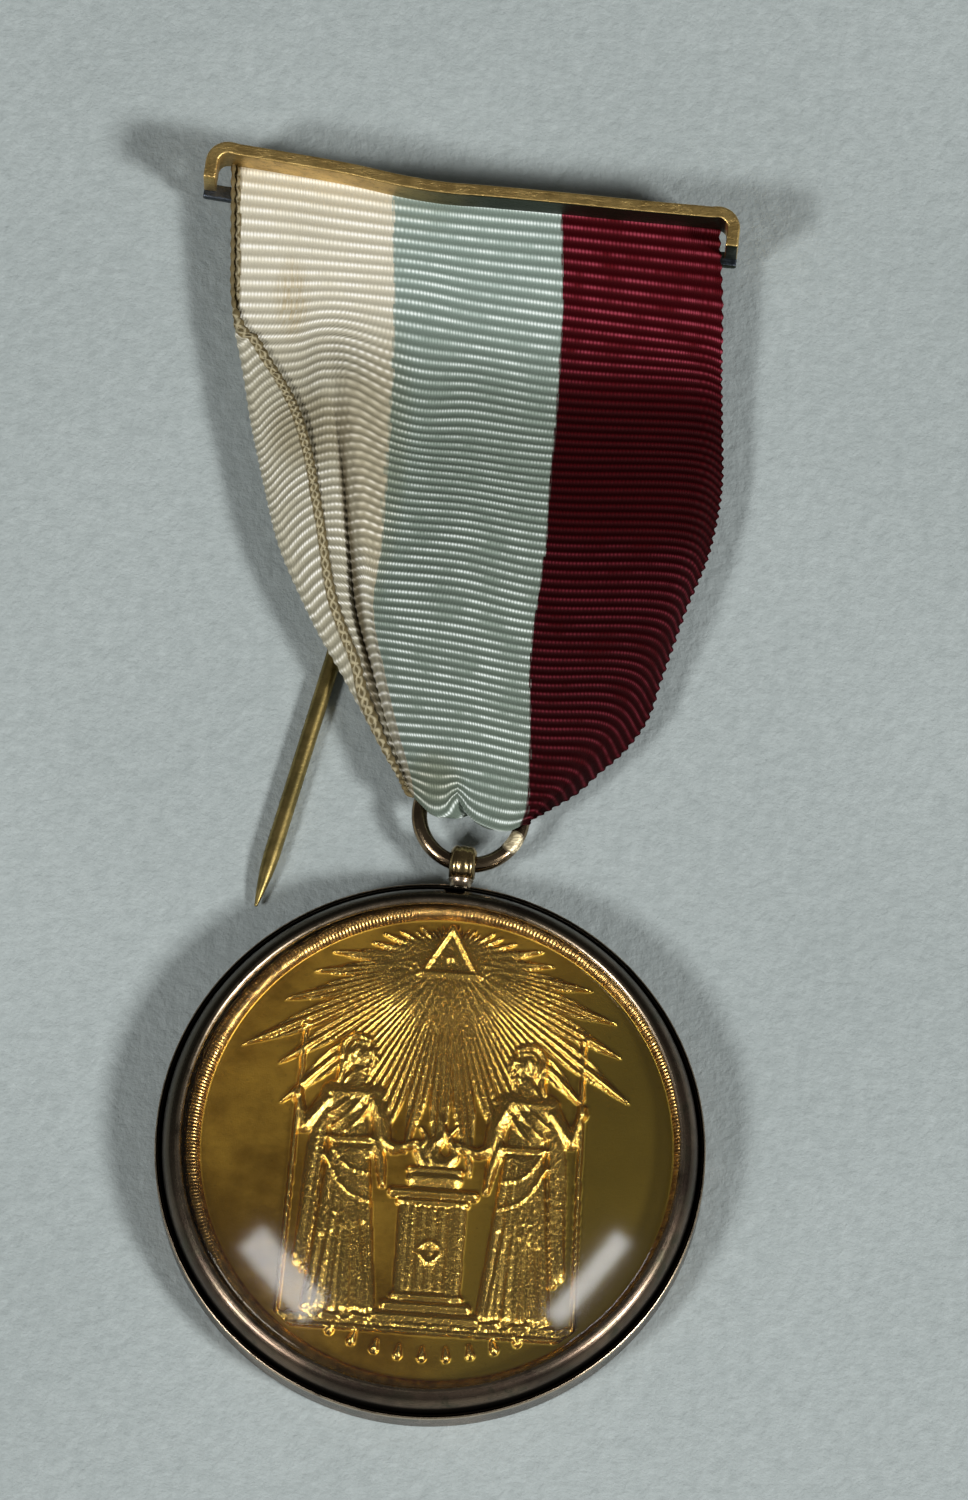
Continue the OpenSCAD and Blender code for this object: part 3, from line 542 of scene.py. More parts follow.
def flap_over(web, flap):
    """Columns of the margin that is folded over the front, from its selvedge to the fold. A point
    lies as far past the fold as the cloth is long there: first round a half circle, then on over
    the web in the direction that the fold turns the ribs to, sinking to it with the square of
    the way to the selvedge."""
    flap = flap[:, None]
    q = flap * np.linspace(1, 0, FLAP_COLS + 1)[None, :-1] ** 1.3
    r = FLAP_R * (0.5 + 0.5 * np.clip((flap - FLAP_FULL[0]) / FLAP_FULL[1], 0, 1))
    on = q >= np.pi * r
    far = np.clip((q - np.pi * r) / np.maximum(flap - np.pi * r, 0.1), 0, 1)
    inward = np.where(on, q - np.pi * r, -r * np.sin(q / r))
    lift = np.where(on, 2 * r - (2 * r - FLAP_LOW) * far ** 2, r * (1 - np.cos(q / r)))
    x = web[:, :1, 0] + inward * np.cos(FLAP_DIR)
    rise = np.sin(FLAP_DIR) * (FLAP_RISE[0] - FLAP_RISE[1] * far) * np.clip(flap - 0.3, 0, 1)
    y = web[:, :1, 1] + np.maximum(inward, 0) * rise
    return x, y, lift, q


def turn_round(first, last, count, sign, radius=None):
    """Rows that turn from one face of the loop to the other: half an ellipse between the two, that
    reaches out along Y by half the distance between them in height."""
    a = np.linspace(0, np.pi, count + 2)[1:-1, None]
    reach = np.abs(first[:, 2] - last[:, 2]) / 2 if radius is None else radius
    mix = (1 - np.cos(a)) / 2
    early = (1 - np.cos(np.minimum(1.6 * a, np.pi))) / 2
    x = first[:, 0] * (1 - early) + last[:, 0] * early
    y = first[:, 1] * (1 - mix) + last[:, 1] * mix + sign * reach * np.sin(a)
    z = first[:, 2] * (1 - mix) + last[:, 2] * mix
    return np.stack([x, y, z], -1)


first_rib, last_rib = 1.5, 68.5
rib = np.arange(first_rib, last_rib + 0.01, 1 / PER_RIB)
web, u_web, flap_w = front_web(rib)
x, y, lift, q = flap_over(web, flap_w)
under = np.stack([np.interp(x[i], web[i, :, 0], web[i, :, 2]) for i in range(len(rib))])
flap = np.stack([x, y, under + lift], -1)
u_flap = (flap_w[:, None] - q) / CLOTH.width
front = np.concatenate([flap, web], axis=1)
u_front = np.concatenate([u_flap, u_web], axis=1)

# The back is plain: even across, a little narrower than the front, over the prong and down to the ring
back_rib = np.arange(0, BACK.ribs * BACK_PER_RIB + 1) / BACK_PER_RIB
way = 1 - back_rib[:, None] / back_rib[-1]
spine = web[:, MIDDLE_COLUMN, 1]
row = np.interp(spine[-1] + (spine[0] - spine[-1]) * (1 - way[:, 0]), spine[::-1], np.arange(len(rib))[::-1])
outline = np.stack([np.interp(row, np.arange(len(rib)), front[:, c, 0]) for c in (FLAP_COLS, -1)], -1)
tight = np.clip((way - BACK.throat_from) / (1 - BACK.throat_from), 0, 1)
tight = tight ** 2 * (3 - 2 * tight)
throat = BACK.throat_x + BACK.throat_half * np.array([-1, 1])
outline = (outline + BACK.inset * np.array([1, -1])) * (1 - tight) + tight * throat
even = np.linspace(0, 1, front.shape[1])
x = outline[:, :1] + even * (outline[:, 1:] - outline[:, :1])
sunk = np.clip((way - BACK.sinks[0]) / BACK.sinks[1], 0, 1)
back = np.stack([x, BACK.ring_y * way + top_line(x) * (1 - way),
                 BACK.z + (BACK.ring_z - BACK.z) * sunk + 0 * x], -1)
u_back = np.tile(even, (len(way), 1))

# The whole loop: front, turn through the ring, back, turn over the rail. Each point is moved out and in
# by half the cloth, which is thicker on the crest of a rib.
count = TURN_RIBS * PER_RIB
middle = np.concatenate([front, turn_round(front[-1], back[0], count, -1, FOOT_REACH), back,
                         turn_round(back[-1], front[0], count, 1)])
mix = (1 - np.cos(np.linspace(0, np.pi, count + 2)[1:-1, None])) / 2
u_all = np.concatenate([u_front, u_front[-1] * (1 - mix) + u_back[0] * mix, u_back,
                        u_back[-1] * (1 - mix) + u_front[0] * mix])
turning, back_end = np.arange(1, count + 1) / PER_RIB, last_rib + TURN_RIBS + back_rib[-1]
rib_all = np.concatenate([rib, last_rib + turning, last_rib + TURN_RIBS + back_rib + 0.5, back_end + turning])
facing = np.cross(np.gradient(middle, axis=1), np.roll(middle, -1, 0) - np.roll(middle, 1, 0))
facing /= np.maximum(np.linalg.norm(facing, axis=2), 1e-9)[..., None]
facing *= np.sign(facing[len(rib) // 4, FLAP_COLS + MIDDLE_COLUMN, 2])
ridge = 0.5 * np.cos(2 * np.pi * rib_all)
edge_out = CLOTH.edge_wave * (ridge + 0.5)
middle[:, -1, 0] += edge_out - CLOTH.edge_wave / 2
middle[:, 0, 0] += edge_out / 2
lift = (CLOTH.thick / 2 + CLOTH.rib_h * ridge)[:, None, None] * facing
shell = np.concatenate([middle + lift, (middle - lift)[:, ::-1]], axis=1)
u_shell = np.concatenate([u_all, u_all[:, ::-1], u_all[:, :1]], axis=1) * CLOTH.width
u_shell = np.concatenate([u_shell, u_shell[:1]])
v_shell = np.append(rib_all, rib_all[-1] + 1 / PER_RIB) * CLOTH.rib
weave_map = np.stack([u_shell, np.broadcast_to(v_shell[:, None], u_shell.shape)], -1)


# Silk: a painted highlight, a bright line of yarns on the sunny side of each rib, with duller slopes between
# them;
# brown and yellow stains; painted shade in the sag of the front and along the pleat's fold; and a brown braid
# along the selvedge
def oval(x, y, centre, shrink, core=0.0):
    """1 in the core of an oval, falling to 0 at its edge: the sum of the squares of the ways from its
    centre, each times one over the oval's half size."""
    away = ((x - centre[0]) * shrink[0]) ** 2.0 + ((y - centre[1]) * shrink[1]) ** 2.0
    return 1.0 - away.step(core, 1.0)


SILK, shader, place = finish("ribbon_silk", Specular_IOR_Level=0.05)
u, v, _ = Tone(SILK.node_tree).node("UVMap", {"uv_map": "weave"}).parts()
n = v / CLOTH.rib
crest = ((n - 0.1) * np.pi).math("COSINE")
crest = crest * crest
number = n.math("ROUND")
yarn = u.node("CombineXYZ", {}, {0: u * 5.5, 1: number * 3.7, 2: 0.0}).noise(1.0, 2, 0.6)
patch = u.node("CombineXYZ", {}, {0: u * 0.30, 1: number * 0.24, 2: 4.0}).noise(1.0, 3, 0.6)
thread = (u * 21.0 + number * 2.1).math("SINE")
WHITE_END, BLUE_END = (s * CLOTH.width for s in STRIPES)
edge = u + (yarn - 0.5) * 0.7
in_blue = edge.step(WHITE_END - 0.12, WHITE_END + 0.12)
in_red = edge.step(BLUE_END - 0.12, BLUE_END + 0.12)
low = in_red.blend(in_blue.blend((0.56, 0.52, 0.40), (0.215, 0.272, 0.232)), (0.036, 0.0008, 0.002))
high = in_red.blend(in_blue.blend((0.91, 0.86, 0.70), (0.50, 0.60, 0.54)), (0.105, 0.004, 0.008))
# painted highlight: each rib's crest is lighter than its slopes
lit = crest ** 2.4 * (0.38 + yarn * 0.9 + thread * 0.38)
tone = lit.blend(low, high)
# painted shade: below the top, the front is darkened between the crests where it sags away from the lights
painted_sag_shade = n.step(9.0, 22.0) * (1.0 - n.step(70.0, 74.0)) * (0.75 + patch * 0.5)
tone = painted_sag_shade.stain(tone, in_red.blend((0.62, 0.62, 0.58), (0.40, 0.33, 0.33)))
# painted highlights: bright dashes where the yarns of a crest catch the light, patchy, fainter in the middle
# of the front and fainter still in the crimson's painted shade
dull = 1.0 - (((n - 26.0) / 13.0) ** 2.0).step(0.0, 1.0)
dash = crest ** 7.0 * (0.45 + yarn * 0.8 + thread * 0.5) * patch.step(0.34, 0.62)
dash = dash * (1.0 - dull * 0.5 - in_red * painted_sag_shade * 0.75)
glint = in_red.blend(in_blue.blend((1.0, 0.98, 0.90), (0.88, 0.96, 0.91)), (0.36, 0.05, 0.08))
tone = dash.math("MINIMUM", 0.9).blend(tone, glint)
# stains: brown low in the white and yellow down the border of the blue; and the cloth is darker round the
# foot
x, y, z = place.parts()
soil = oval(x, y, (-12.6, 79.0), (0.5, 0.22)) * yarn.step(0.3, 0.7) * 0.7
soil = soil + oval(u, y, (WHITE_END, 62.0), (0.45, 0.06)) * 0.3 + oval(x, y, (0.0, 33.5), (0.3, 0.3)) * 0.45
# painted shade in the hollow between the flap and the pleat
hollow = oval(x, y, (-11.0, 66.5), (0.22, 0.22), 0.2)
# painted shade along the foot of the pleat's ridge: a curve x = a + b t + c t t, with t down the ribbon from
# where it starts
t = 67.0 - y
seam = x + 8.25 - t * 0.05 - t * t * 0.0028
seam = (1.0 - seam.math("ABSOLUTE").step(0.12, 0.6)) * t.step(-1.0, 5.0) * (1.0 - t.step(26.0, 32.0))
for amount, colour in ((soil, (0.70, 0.57, 0.36)), (hollow * 0.6, (0.60, 0.55, 0.44)),
                       (seam * 0.8, (0.28, 0.23, 0.15))):
    tone = amount.stain(tone, colour)
sway = (v * 3.4 + patch * 9.0).math("SINE") * 0.3
near, far = ((u - 0.6 - sway * turn).math("ABSOLUTE") for turn in (1.0, -1.0))
strand = 1.0 - near.math("MINIMUM", far).step(0.05, 0.22)
braid = 1.0 - (u + (yarn - 0.5) * 0.5).step(1.0, 1.2)
tone = braid.blend(tone, (strand * (0.5 + yarn * 0.9)).blend((0.16, 0.125, 0.06), (0.46, 0.40, 0.25)))
feed(shader, relief=yarn * crest * 0.8 + thread * 0.2 + braid * (0.5 + strand), depth=0.07, Base_Color=tone,
     Roughness=0.62 - crest * 0.15 + in_red * 0.1)
ribbon = skin("ribbon_silk", shell, SILK, (True, True), uv=weave_map)
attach(ribbon, "root")
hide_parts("ribbon")


# Suspension ring. Round gilt wire, closed by a soldered joint, worn flat and scratched where it
# has lain on the loop of the case.
WIRE_R, RING_R = 0.7, 4.6
RING_AT = (3.571, 30.789, 2.9)
# The filed patch: its place round the ring in degrees, its height above the wire's middle, its reach
JOINT_ANGLE, JOINT_UP, JOINT_LONG = -35.0, 0.5, 1.1


def gilt(name, high, low, dark, rough=0.16, wear=0.5, joint=None):
    """Worn gilding: warm patches in two tones, brown specks and fine scratches in the gloss. Round
    a joint it is filed flat, pale and scratched, with a dark line where the solder ends."""
    material, shader, place = finish(name, Metallic=1.0)
    cloud = place.noise(0.3, 4, 0.6)
    speck = place.noise(2.4, 4, 0.7)
    scratch = place.noise(6.0, 2, 0.5, (0.2, 1.0, 1.0))
    stain = speck.step(0.55, 0.72) * wear
    tone = stain.blend(cloud.step(0.35, 0.65).blend(low, high), dark)
    rough = rough + stain * 0.2 + scratch.step(0.5, 0.8) * 0.08
    if joint is not None:
        away = place.node("VectorMath", {"operation": "DISTANCE"}, {0: place, 1: joint}, 1)
        filed = 1.0 - away.step(JOINT_LONG - 0.1, JOINT_LONG)
        seam = filed * away.step(JOINT_LONG - 0.3, JOINT_LONG - 0.1) * 0.8
        bare = (scratch.step(0.42, 0.58) * 0.75).blend((0.92, 0.80, 0.52), (0.22, 0.16, 0.08))
        tone = filed.blend(tone, bare)
        tone = seam.blend(tone, dark)
        rough = rough + filed * 0.3
        feed(shader, Metallic=1.0 - filed * 0.7)
    feed(shader, relief=scratch * 0.4 + speck * 0.6, depth=0.012, Base_Color=tone, Roughness=rough)
    return material


turn = np.radians(JOINT_ANGLE)
filed_at = np.array(RING_AT) + [RING_R * np.cos(turn), RING_R * np.sin(turn), JOINT_UP]
RING_GILT = gilt("ring_gilt", (0.42, 0.31, 0.19), (0.20, 0.14, 0.085), (0.04, 0.028, 0.016), joint=filed_at)
spoke = np.c_[round_line(192), np.zeros(192)]
ring = skin("suspension_ring_wire", swept(RING_AT + RING_R * spoke, spoke, [0, 0, 1], round_line(48, WIRE_R)),
            RING_GILT, (True, True))
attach(ring, "root")
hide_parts("suspension_ring")


# Case, back half. A shallow cup spun from gilt sheet, with a thin wall, and a reeded barrel of a
# loop on a short neck soldered to its edge, which the ring goes through.
CUP = Sizes(r=24.35, inner=23.95, height=3.4, bottom=0.6)
LOOP = Sizes(angle=6.2, away=26.4, z=2.9, r=1.7, bore=1.0, width=2.3, reeds=3, reed=0.09, crown=0.42,
             bevel=0.62, neck_r=0.95, flare=0.18)
# Parts of a turn, and the radius of the flat face that closes the cup at its middle
TURNS, POLE = 512, 0.02


def spun(profile, turns=TURNS, ripple=None):
    """A profile (radius, height) turned about the upright axis of the case. A ripple is added to the
    radius as a function of the angle."""
    t = np.linspace(0, 2 * np.pi, turns + 1)[:-1]
    r = np.broadcast_to(profile[:, 0, None], (len(profile), turns))
    r = r if ripple is None else r + ripple(t, profile)
    return np.stack([r * np.cos(t), r * np.sin(t), np.broadcast_to(profile[:, 1, None], r.shape)], -1)


def filled(profile, longest=0.5):
    """The same outline with points added, so that none of its sides is longer than a length."""
    out = []
    for a, b in zip(profile, np.roll(profile, -1, 0)):
        count = max(1, int(np.ceil(np.linalg.norm(b - a) / longest)))
        out.append(a + (b - a) * np.arange(count)[:, None] / count)
    return np.concatenate(out)


def toned_gilt(name):
    """The case's gilding: rose-brown with olive patches, fine turned lines round the middle, painted shade
    on its far left side and in the groove, and rubbed edges painted brighter as highlights."""
    material, shader, place = finish(name, Metallic=1.0)
    x, y, z = place.parts()
    r = (x * x + y * y) ** 0.5
    cloud = place.noise(0.16, 4, 0.6)
    patch = place.noise(0.5, 4, 0.65)
    speck = place.noise(3.0, 3, 0.7)
    lines = place.node("CombineXYZ", {}, {0: r * 9.0, 1: z * 9.0, 2: 0.0}).noise(1.0, 3, 0.7)
    tone = cloud.step(0.35, 0.65).blend((0.105, 0.075, 0.056), (0.235, 0.165, 0.115))
    tone = patch.step(0.45, 0.7).blend(tone, (0.10, 0.088, 0.058))
    # painted shade: the case is darker towards its far left side, away from the lights
    tone = (y * 0.8 - x * 0.4).step(-6.0, 16.0).blend(tone, (0.085, 0.07, 0.048))
    dark = (lines.step(0.45, 0.7) * 0.45 + speck.step(0.58, 0.75) * 0.6)
    tone = dark.blend(tone, (0.035, 0.027, 0.02))
    # rubbed edges of the cup's rim and the bezel's lip, painted brighter as highlights
    rubbed_and_highlit = r.step(24.12, 24.26) * z.step(2.7, 3.2) + (1.0 - r.step(22.35, 22.6)) * 0.5
    rubbed_and_highlit = rubbed_and_highlit * patch.step(0.2, 0.55)
    # painted shade: the groove between the bezel's skirt and the cup's wall is near black
    painted_groove_shade = r.step(23.55, 23.66) * (1.0 - r.step(23.98, 24.06)) * z.step(2.0, 2.6)
    tone = painted_groove_shade.blend(rubbed_and_highlit.blend(tone, (0.55, 0.43, 0.30)), (0.012, 0.010, 0.008))
    feed(shader, relief=lines * 0.7 + speck * 0.4, depth=0.02, Base_Color=tone,
         Roughness=0.2 + patch * 0.12 + dark * 0.12 + painted_groove_shade * 0.3)
    return material


CASE_GILT = toned_gilt("case_gilt")
cup = filled(eased([[POLE, 0.0, 0], [CUP.r, 0.0, 0.3], [CUP.r, CUP.height, 0.18],
                    [CUP.inner, CUP.height, 0.18], [CUP.inner, CUP.bottom, 0.3],
                    [POLE, CUP.bottom, 0]]), 1.5)
shell = skin("case_back_cup", spun(cup), CASE_GILT, (False, True), caps=True)

a = np.radians(LOOP.angle)
out_dir, side_dir = np.array([np.sin(a), np.cos(a), 0]), np.array([np.cos(a), -np.sin(a), 0])
eye = LOOP.away * out_dir + [0, 0, LOOP.z]
w, r, bore = LOOP.width / 2, LOOP.r, LOOP.bore
k = np.linspace(0, 1, 61)
reeds = LOOP.reed * np.abs(np.sin(np.pi * LOOP.reeds * k)) ** 0.6
mouth = [bore, w] + np.array([[0.15, 0], [0.03, -0.05], [0, -0.2]])
face = np.r_[[[r - LOOP.bevel, w]], mouth]
barrel = np.r_[np.c_[r - LOOP.reed - LOOP.crown * np.abs(2 * k - 1) ** 4 + reeds, -w + 2 * w * k],
               face, face[::-1] * [1, -1]]
turn = round_line(96)
spokes = turn[:, :1] * out_dir + turn[:, 1:] * [0, 0, 1]
LOOP_GILT = gilt("loop_gilt", (0.62, 0.45, 0.20), (0.32, 0.23, 0.11), (0.04, 0.03, 0.018), 0.2, 0.8)
barrel_piece = skin("case_loop", swept(eye + 0 * spokes, spokes, side_dir, barrel), LOOP_GILT, (True, True))
reach = np.linspace(CUP.inner + 0.1, LOOP.away - LOOP.r + 0.25, 12)
flare = LOOP.neck_r * (1 + LOOP.flare * np.linspace(-1, 1, 12) ** 2)
neck = skin("case_loop_neck", swept(reach[:, None] * out_dir + [0, 0, LOOP.z], side_dir, [0, 0, 1],
                                    round_line(48), flare), CASE_GILT, (False, True), caps=True)
for piece in (shell, barrel_piece, neck):
    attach(piece, "root")
    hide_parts("case_back")


# Case, front half. A turned bezel whose skirt drops into the cup and whose lip holds the glass,
# with a small slot cut in its shoulder at the foot of the loop to prise it open.
BEZEL = Sizes(bore=23.1, skirt=23.7, lip=22.0, glass=22.65, bottom=0.65, under=4.1, seat=5.1, top=5.6,
              shoulder=3.4)
SLOT = Sizes(angle=5.2, half=0.85, deep=0.7, z=3.6, soft=(0.15, 0.12))
quarter = np.linspace(0, np.pi / 2, 16)
head = np.c_[BEZEL.lip + 0.3 + (BEZEL.skirt - BEZEL.lip - 0.3) * np.cos(quarter),
             BEZEL.shoulder + (BEZEL.top - BEZEL.shoulder) * np.sin(quarter)]
inside = eased([[BEZEL.skirt, BEZEL.shoulder - 0.4, 0], [BEZEL.bore + 0.6, BEZEL.bottom, 0.15],
                [BEZEL.bore, BEZEL.bottom, 0.15], [BEZEL.bore, BEZEL.under, 0],
                [BEZEL.glass, BEZEL.under, 0], [BEZEL.glass, BEZEL.seat, 0],
                [BEZEL.lip, BEZEL.seat, 0.05], [BEZEL.lip, BEZEL.top - 0.15, 0]])
bezel_line = filled(np.r_[inside, head[::-1]], 0.4)


def slot_cut(t, profile):
    """How far the bezel's outside goes in at an angle t: the slot's depth within its half width, on
    the part of the profile that is above the slot's foot and outside the glass."""
    away = np.abs((t - np.pi / 2 + np.radians(SLOT.angle) + np.pi) % (2 * np.pi) - np.pi) * BEZEL.skirt
    wide = np.clip((SLOT.half - away) / SLOT.soft[0], 0, 1)
    high = np.clip((profile[:, 1] - SLOT.z) / SLOT.soft[1], 0, 1)[:, None]
    floor_r = BEZEL.skirt - SLOT.deep
    deep = np.maximum(profile[:, 0] - floor_r, 0)[:, None]
    return -wide[None] * high * deep


bezel = skin("case_front_bezel", spun(bezel_line, 1024, slot_cut), CASE_GILT, (True, True))
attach(bezel, "root")
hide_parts("case_front")


# Medal. Struck gilt metal with a raised rounded rim: two robed figures hold out their hands over
# an altar with a flame, on stony ground below a triangle with an eye in a glory of rays. The field
# is polished, the relief is crisp and a little grainy.
MEDAL = Sizes(r=22.4, field=20.9, thick=3.4, field_z=2.8, relief=0.8, at=(0.6, 0.0, 0.65), turn=-4.0)
MIRROR = np.array([-1, 1, 1, -1, 1, 1, 1])
# Triangle: its middle, the way from there to its sides, the slope and width of its raised band, and
# the half sizes of the eye and its ball. Rays: degrees to each, their reach, and how it varies.
EYE_AT = (0.0, 0.83)
TRIANGLE = Sizes(side=0.085, slope=0.008, band=0.024, eye=(0.042, 0.022), ball=0.014)
RAYS = Sizes(step=9.0, reach=0.93, of_rim=0.86, uneven=0.07, narrows=0.38, flutes=3)


def bars(*rows):
    """Strokes: start x, y and radius, end x, y and radius, height. All strokes are in thousandths of
    the field's radius, and their heights in thousandths of the relief."""
    return np.array(rows, float)


def fan(first, second, count, r0, r1, height):
    """Strokes from evenly spaced points on one line to evenly spaced points on another."""
    t = np.linspace(0, 1, count)[:, None]
    (a, b), (c, d) = np.array(first, float), np.array(second, float)
    one = np.ones((count, 1))
    return np.hstack([a + (b - a) * t, r0 * one, c + (d - c) * t, r1 * one, height * one])


def bent(points, r0, r1, height, count=7):
    """One stroke along a smooth curve through points, as short bars end to end."""
    points = np.array(points, float)
    t = np.linspace(0, len(points) - 1, count + 1)
    line = through(t, np.arange(len(points)), points)
    r = (r0 + (r1 - r0) * t / t[-1])[:, None]
    return np.hstack([line[:-1], r[:-1], line[1:], r[1:], np.full((count, 1), height)])


def pointed_in(angles, r0, size0, r1, size1, height):
    """Strokes that point to the medal's middle from angles round it."""
    way, one = np.stack([np.cos(angles), np.sin(angles)], -1), np.ones((len(angles), 1))
    return np.hstack([r0 * way, size0 * one, r1 * way, size1 * one, height * one])


def pebbles(count, x, y, r, height, seed):
    """Small round stones strewn over a rectangle."""
    roll = np.random.default_rng(seed)
    px, py = roll.uniform(*x, count), roll.uniform(*y, count)
    pr, ph = roll.uniform(*r, count), roll.uniform(0.6, 1, count) * height
    return np.stack([px, py, pr, px + 0.6 * pr, py, pr, ph], -1)


ALTAR = np.concatenate([
    bars([-210, -735, 28, 210, -735, 28, 550], [-170, -685, 26, 170, -685, 26, 620],
         [-115, -650, 30, -115, -235, 30, 560], [115, -650, 30, 115, -235, 30, 560],
         [-140, -645, 18, 140, -645, 18, 660], [-140, -235, 18, 140, -235, 18, 660],
         [-170, -195, 26, 170, -195, 26, 720], [-75, -130, 45, 75, -130, 45, 660],
         [-110, -95, 14, 110, -95, 14, 740]),
    fan([(-85, -620), (85, -620)], [(-85, -260), (85, -260)], 5, 22, 22, 440),
    bent([(0, -400), (45, -440), (0, -500), (-45, -440), (0, -400)], 12, 12, 620, 12),
    bent([(0, -70), (-30, 0), (25, 60), (0, 150)], 52, 8, 660),
    bent([(-40, -70), (-75, -10), (-45, 40), (-75, 90)], 34, 6, 560),
    bent([(40, -70), (80, -20), (50, 50), (85, 100)], 34, 6, 560)])
# The left figure, with its mirror image on the right: robe, cloak, arms, head, feet and staff
FIGURE = np.concatenate([
    bars([-370, 0, 85, -375, -640, 150, 500]),
    fan([(-440, 0), (-300, 0)], [(-500, -710), (-240, -710)], 6, 18, 30, 620),
    fan([(-415, -300), (-315, -300)], [(-470, -720), (-262, -720)], 4, 8, 22, 780),
    fan([(-435, -20), (-305, -20)], [(-455, -400), (-285, -340)], 5, 12, 7, 800),
    bars([-455, 215, 55, -285, 220, 50, 780], [-390, 170, 85, -370, 40, 80, 720],
         [-455, 15, 18, -285, 20, 18, 900], [-357, 320, 38, -362, 250, 48, 660]),
    bent([(-310, 230), (-360, 150), (-440, 70)], 12, 10, 880),
    bent([(-330, 250), (-400, 170), (-460, 120)], 12, 10, 860),
    bent([(-290, 190), (-330, 110), (-390, 50)], 11, 10, 860),
    bent([(-460, 200), (-510, 20), (-530, -250), (-545, -520)], 40, 30, 520),
    bent([(-470, 140), (-490, -100), (-505, -320), (-530, -560)], 10, 12, 700),
    bent([(-490, 100), (-530, -120), (-545, -320), (-565, -500)], 10, 12, 660),
    bent([(-460, 20), (-380, -100), (-280, -130)], 14, 10, 860),
    bent([(-470, -60), (-380, -200), (-270, -250)], 14, 10, 860),
    bent([(-285, 200), (-245, 110), (-235, 30)], 46, 40, 840, 4),
    bent([(-235, 30), (-180, -10), (-115, 10)], 34, 20, 800, 4),
    bent([(-260, 20), (-235, -70), (-220, -170)], 36, 16, 700, 4),
    bars([-110, 12, 20, -85, 26, 10, 860], [-112, 0, 12, -80, 8, 8, 860],
         [-480, 180, 44, -565, 60, 30, 800], [-565, 60, 28, -600, 190, 20, 840],
         [-602, 190, 26, -600, 215, 22, 950], [-625, -740, 11, -590, 500, 11, 700],
         [-590, 505, 24, -590, 506, 24, 800]),
    bars([-345, 395, 60, -342, 372, 56, 800], [-302, 408, 22, -304, 390, 22, 840],
         [-288, 383, 9, -284, 374, 11, 900], [-300, 350, 12, -294, 350, 10, 860],
         [-312, 328, 20, -320, 326, 20, 840], [-322, 398, 6, -310, 399, 6, 970],
         [-385, 385, 50, -370, 410, 58, 920]),
    bent([(-315, 450), (-375, 468), (-425, 430), (-430, 370)], 18, 20, 990, 9),
    bent([(-320, 432), (-370, 440), (-400, 405), (-405, 345)], 12, 14, 990, 9),
    bent([(-430, 370), (-425, 310), (-440, 260)], 26, 12, 800, 5),
    bars([-300, -745, 24, -240, -752, 18, 720], [-430, -745, 24, -370, -752, 18, 680])])
GROUND = np.concatenate([
    bars([-630, -795, 12, 630, -795, 12, 500], [-660, -765, 24, 660, -765, 24, 260]),
    pebbles(120, (-660, 660), (-775, -745), (8, 22), 420, 5),
    pebbles(46, (-160, 160), (-780, -765), (8, 18), 480, 6)])
# A row of drops, in degrees from one to the next, between two dots below the ground line
drop_a = np.radians(270 + 6.5 * np.arange(-4, 5))
DROPS = pointed_in(drop_a, 905, 21, 865, 10, 550)
DOTS = pointed_in(drop_a[[0, -1]] + [-0.13, 0.13], 885, 12, 886, 12, 500)
STROKES = np.concatenate([GROUND, ALTAR, DROPS, DOTS, FIGURE, FIGURE * MIRROR]) / 1000


def strokes(px, py):
    """Highest of all strokes at each point. A stroke is the round top of a bar that tapers from one
    end to the other: its height times a power of one minus the square of the share of its radius."""
    top = np.zeros_like(px)
    for x0, y0, r0, x1, y1, r1, height in STROKES:
        dx, dy = x1 - x0, y1 - y0
        t = np.clip(((px - x0) * dx + (py - y0) * dy) / max(dx * dx + dy * dy, 1e-9), 0, 1)
        r = r0 + (r1 - r0) * t
        away = np.hypot(px - x0 - t * dx, py - y0 - t * dy) / r
        dome = np.maximum(1 - away ** 2, 0) ** 0.45 * (0.55 + 0.45 * (1 - away).clip(0, 1))
        top = np.maximum(top, height * dome)
    return top


def triangle(px, py):
    """A raised triangle with a hollow inside it and an almond of an eye in the hollow."""
    qx, qy = px - EYE_AT[0], py - EYE_AT[1]
    d = np.max([qx * np.cos(a) + qy * np.sin(a) for a in np.radians([-90, 30, 150])], axis=0)
    d -= TRIANGLE.side
    band = 0.85 * np.clip(-d / TRIANGLE.slope, 0, 1)
    hollow = np.clip((-d - TRIANGLE.band) / TRIANGLE.slope, 0, 1)
    almond = np.clip(1 - (qx / TRIANGLE.eye[0]) ** 2 - (qy / TRIANGLE.eye[1]) ** 2, 0, 1) ** 0.5
    ball = np.clip(1 - (qx ** 2 + qy ** 2) / TRIANGLE.ball ** 2, 0, 1) ** 0.5
    return np.where(d < 0, band * (1 - hollow) + hollow * (0.25 + 0.35 * almond + 0.25 * ball), 0)


def glory(px, py):
    """Rays from the eye: each sector of a few degrees is a blade that narrows to a point, and is
    fluted by a cosine of the angle into ridges that are almost cut through to the field."""
    qx, qy = px - EYE_AT[0], py - EYE_AT[1]
    rho = np.maximum(np.hypot(qx, qy), 1e-6)
    turn = np.degrees(np.arctan2(qx, -qy)) / RAYS.step
    off = np.abs(turn - np.round(turn)) * 2
    b = (EYE_AT[0] * qx + EYE_AT[1] * qy) / rho
    to_rim = -b + np.sqrt(b * b + 1 - EYE_AT[1] ** 2)
    long = 1 + RAYS.uneven * np.sin(np.round(turn) * 2.4)
    reach = np.minimum(RAYS.reach, RAYS.of_rim * to_rim) * long * (1 - RAYS.narrows * off)
    flute = 0.5 + 0.5 * np.cos(2 * np.pi * turn * RAYS.flutes)
    low = 0.42 * np.clip((rho - 0.12) / 0.2, 0, 1)
    return np.clip((reach - rho) / 0.015, 0, 1) * (0.56 - low * (1 - flute) - 0.1 * off)


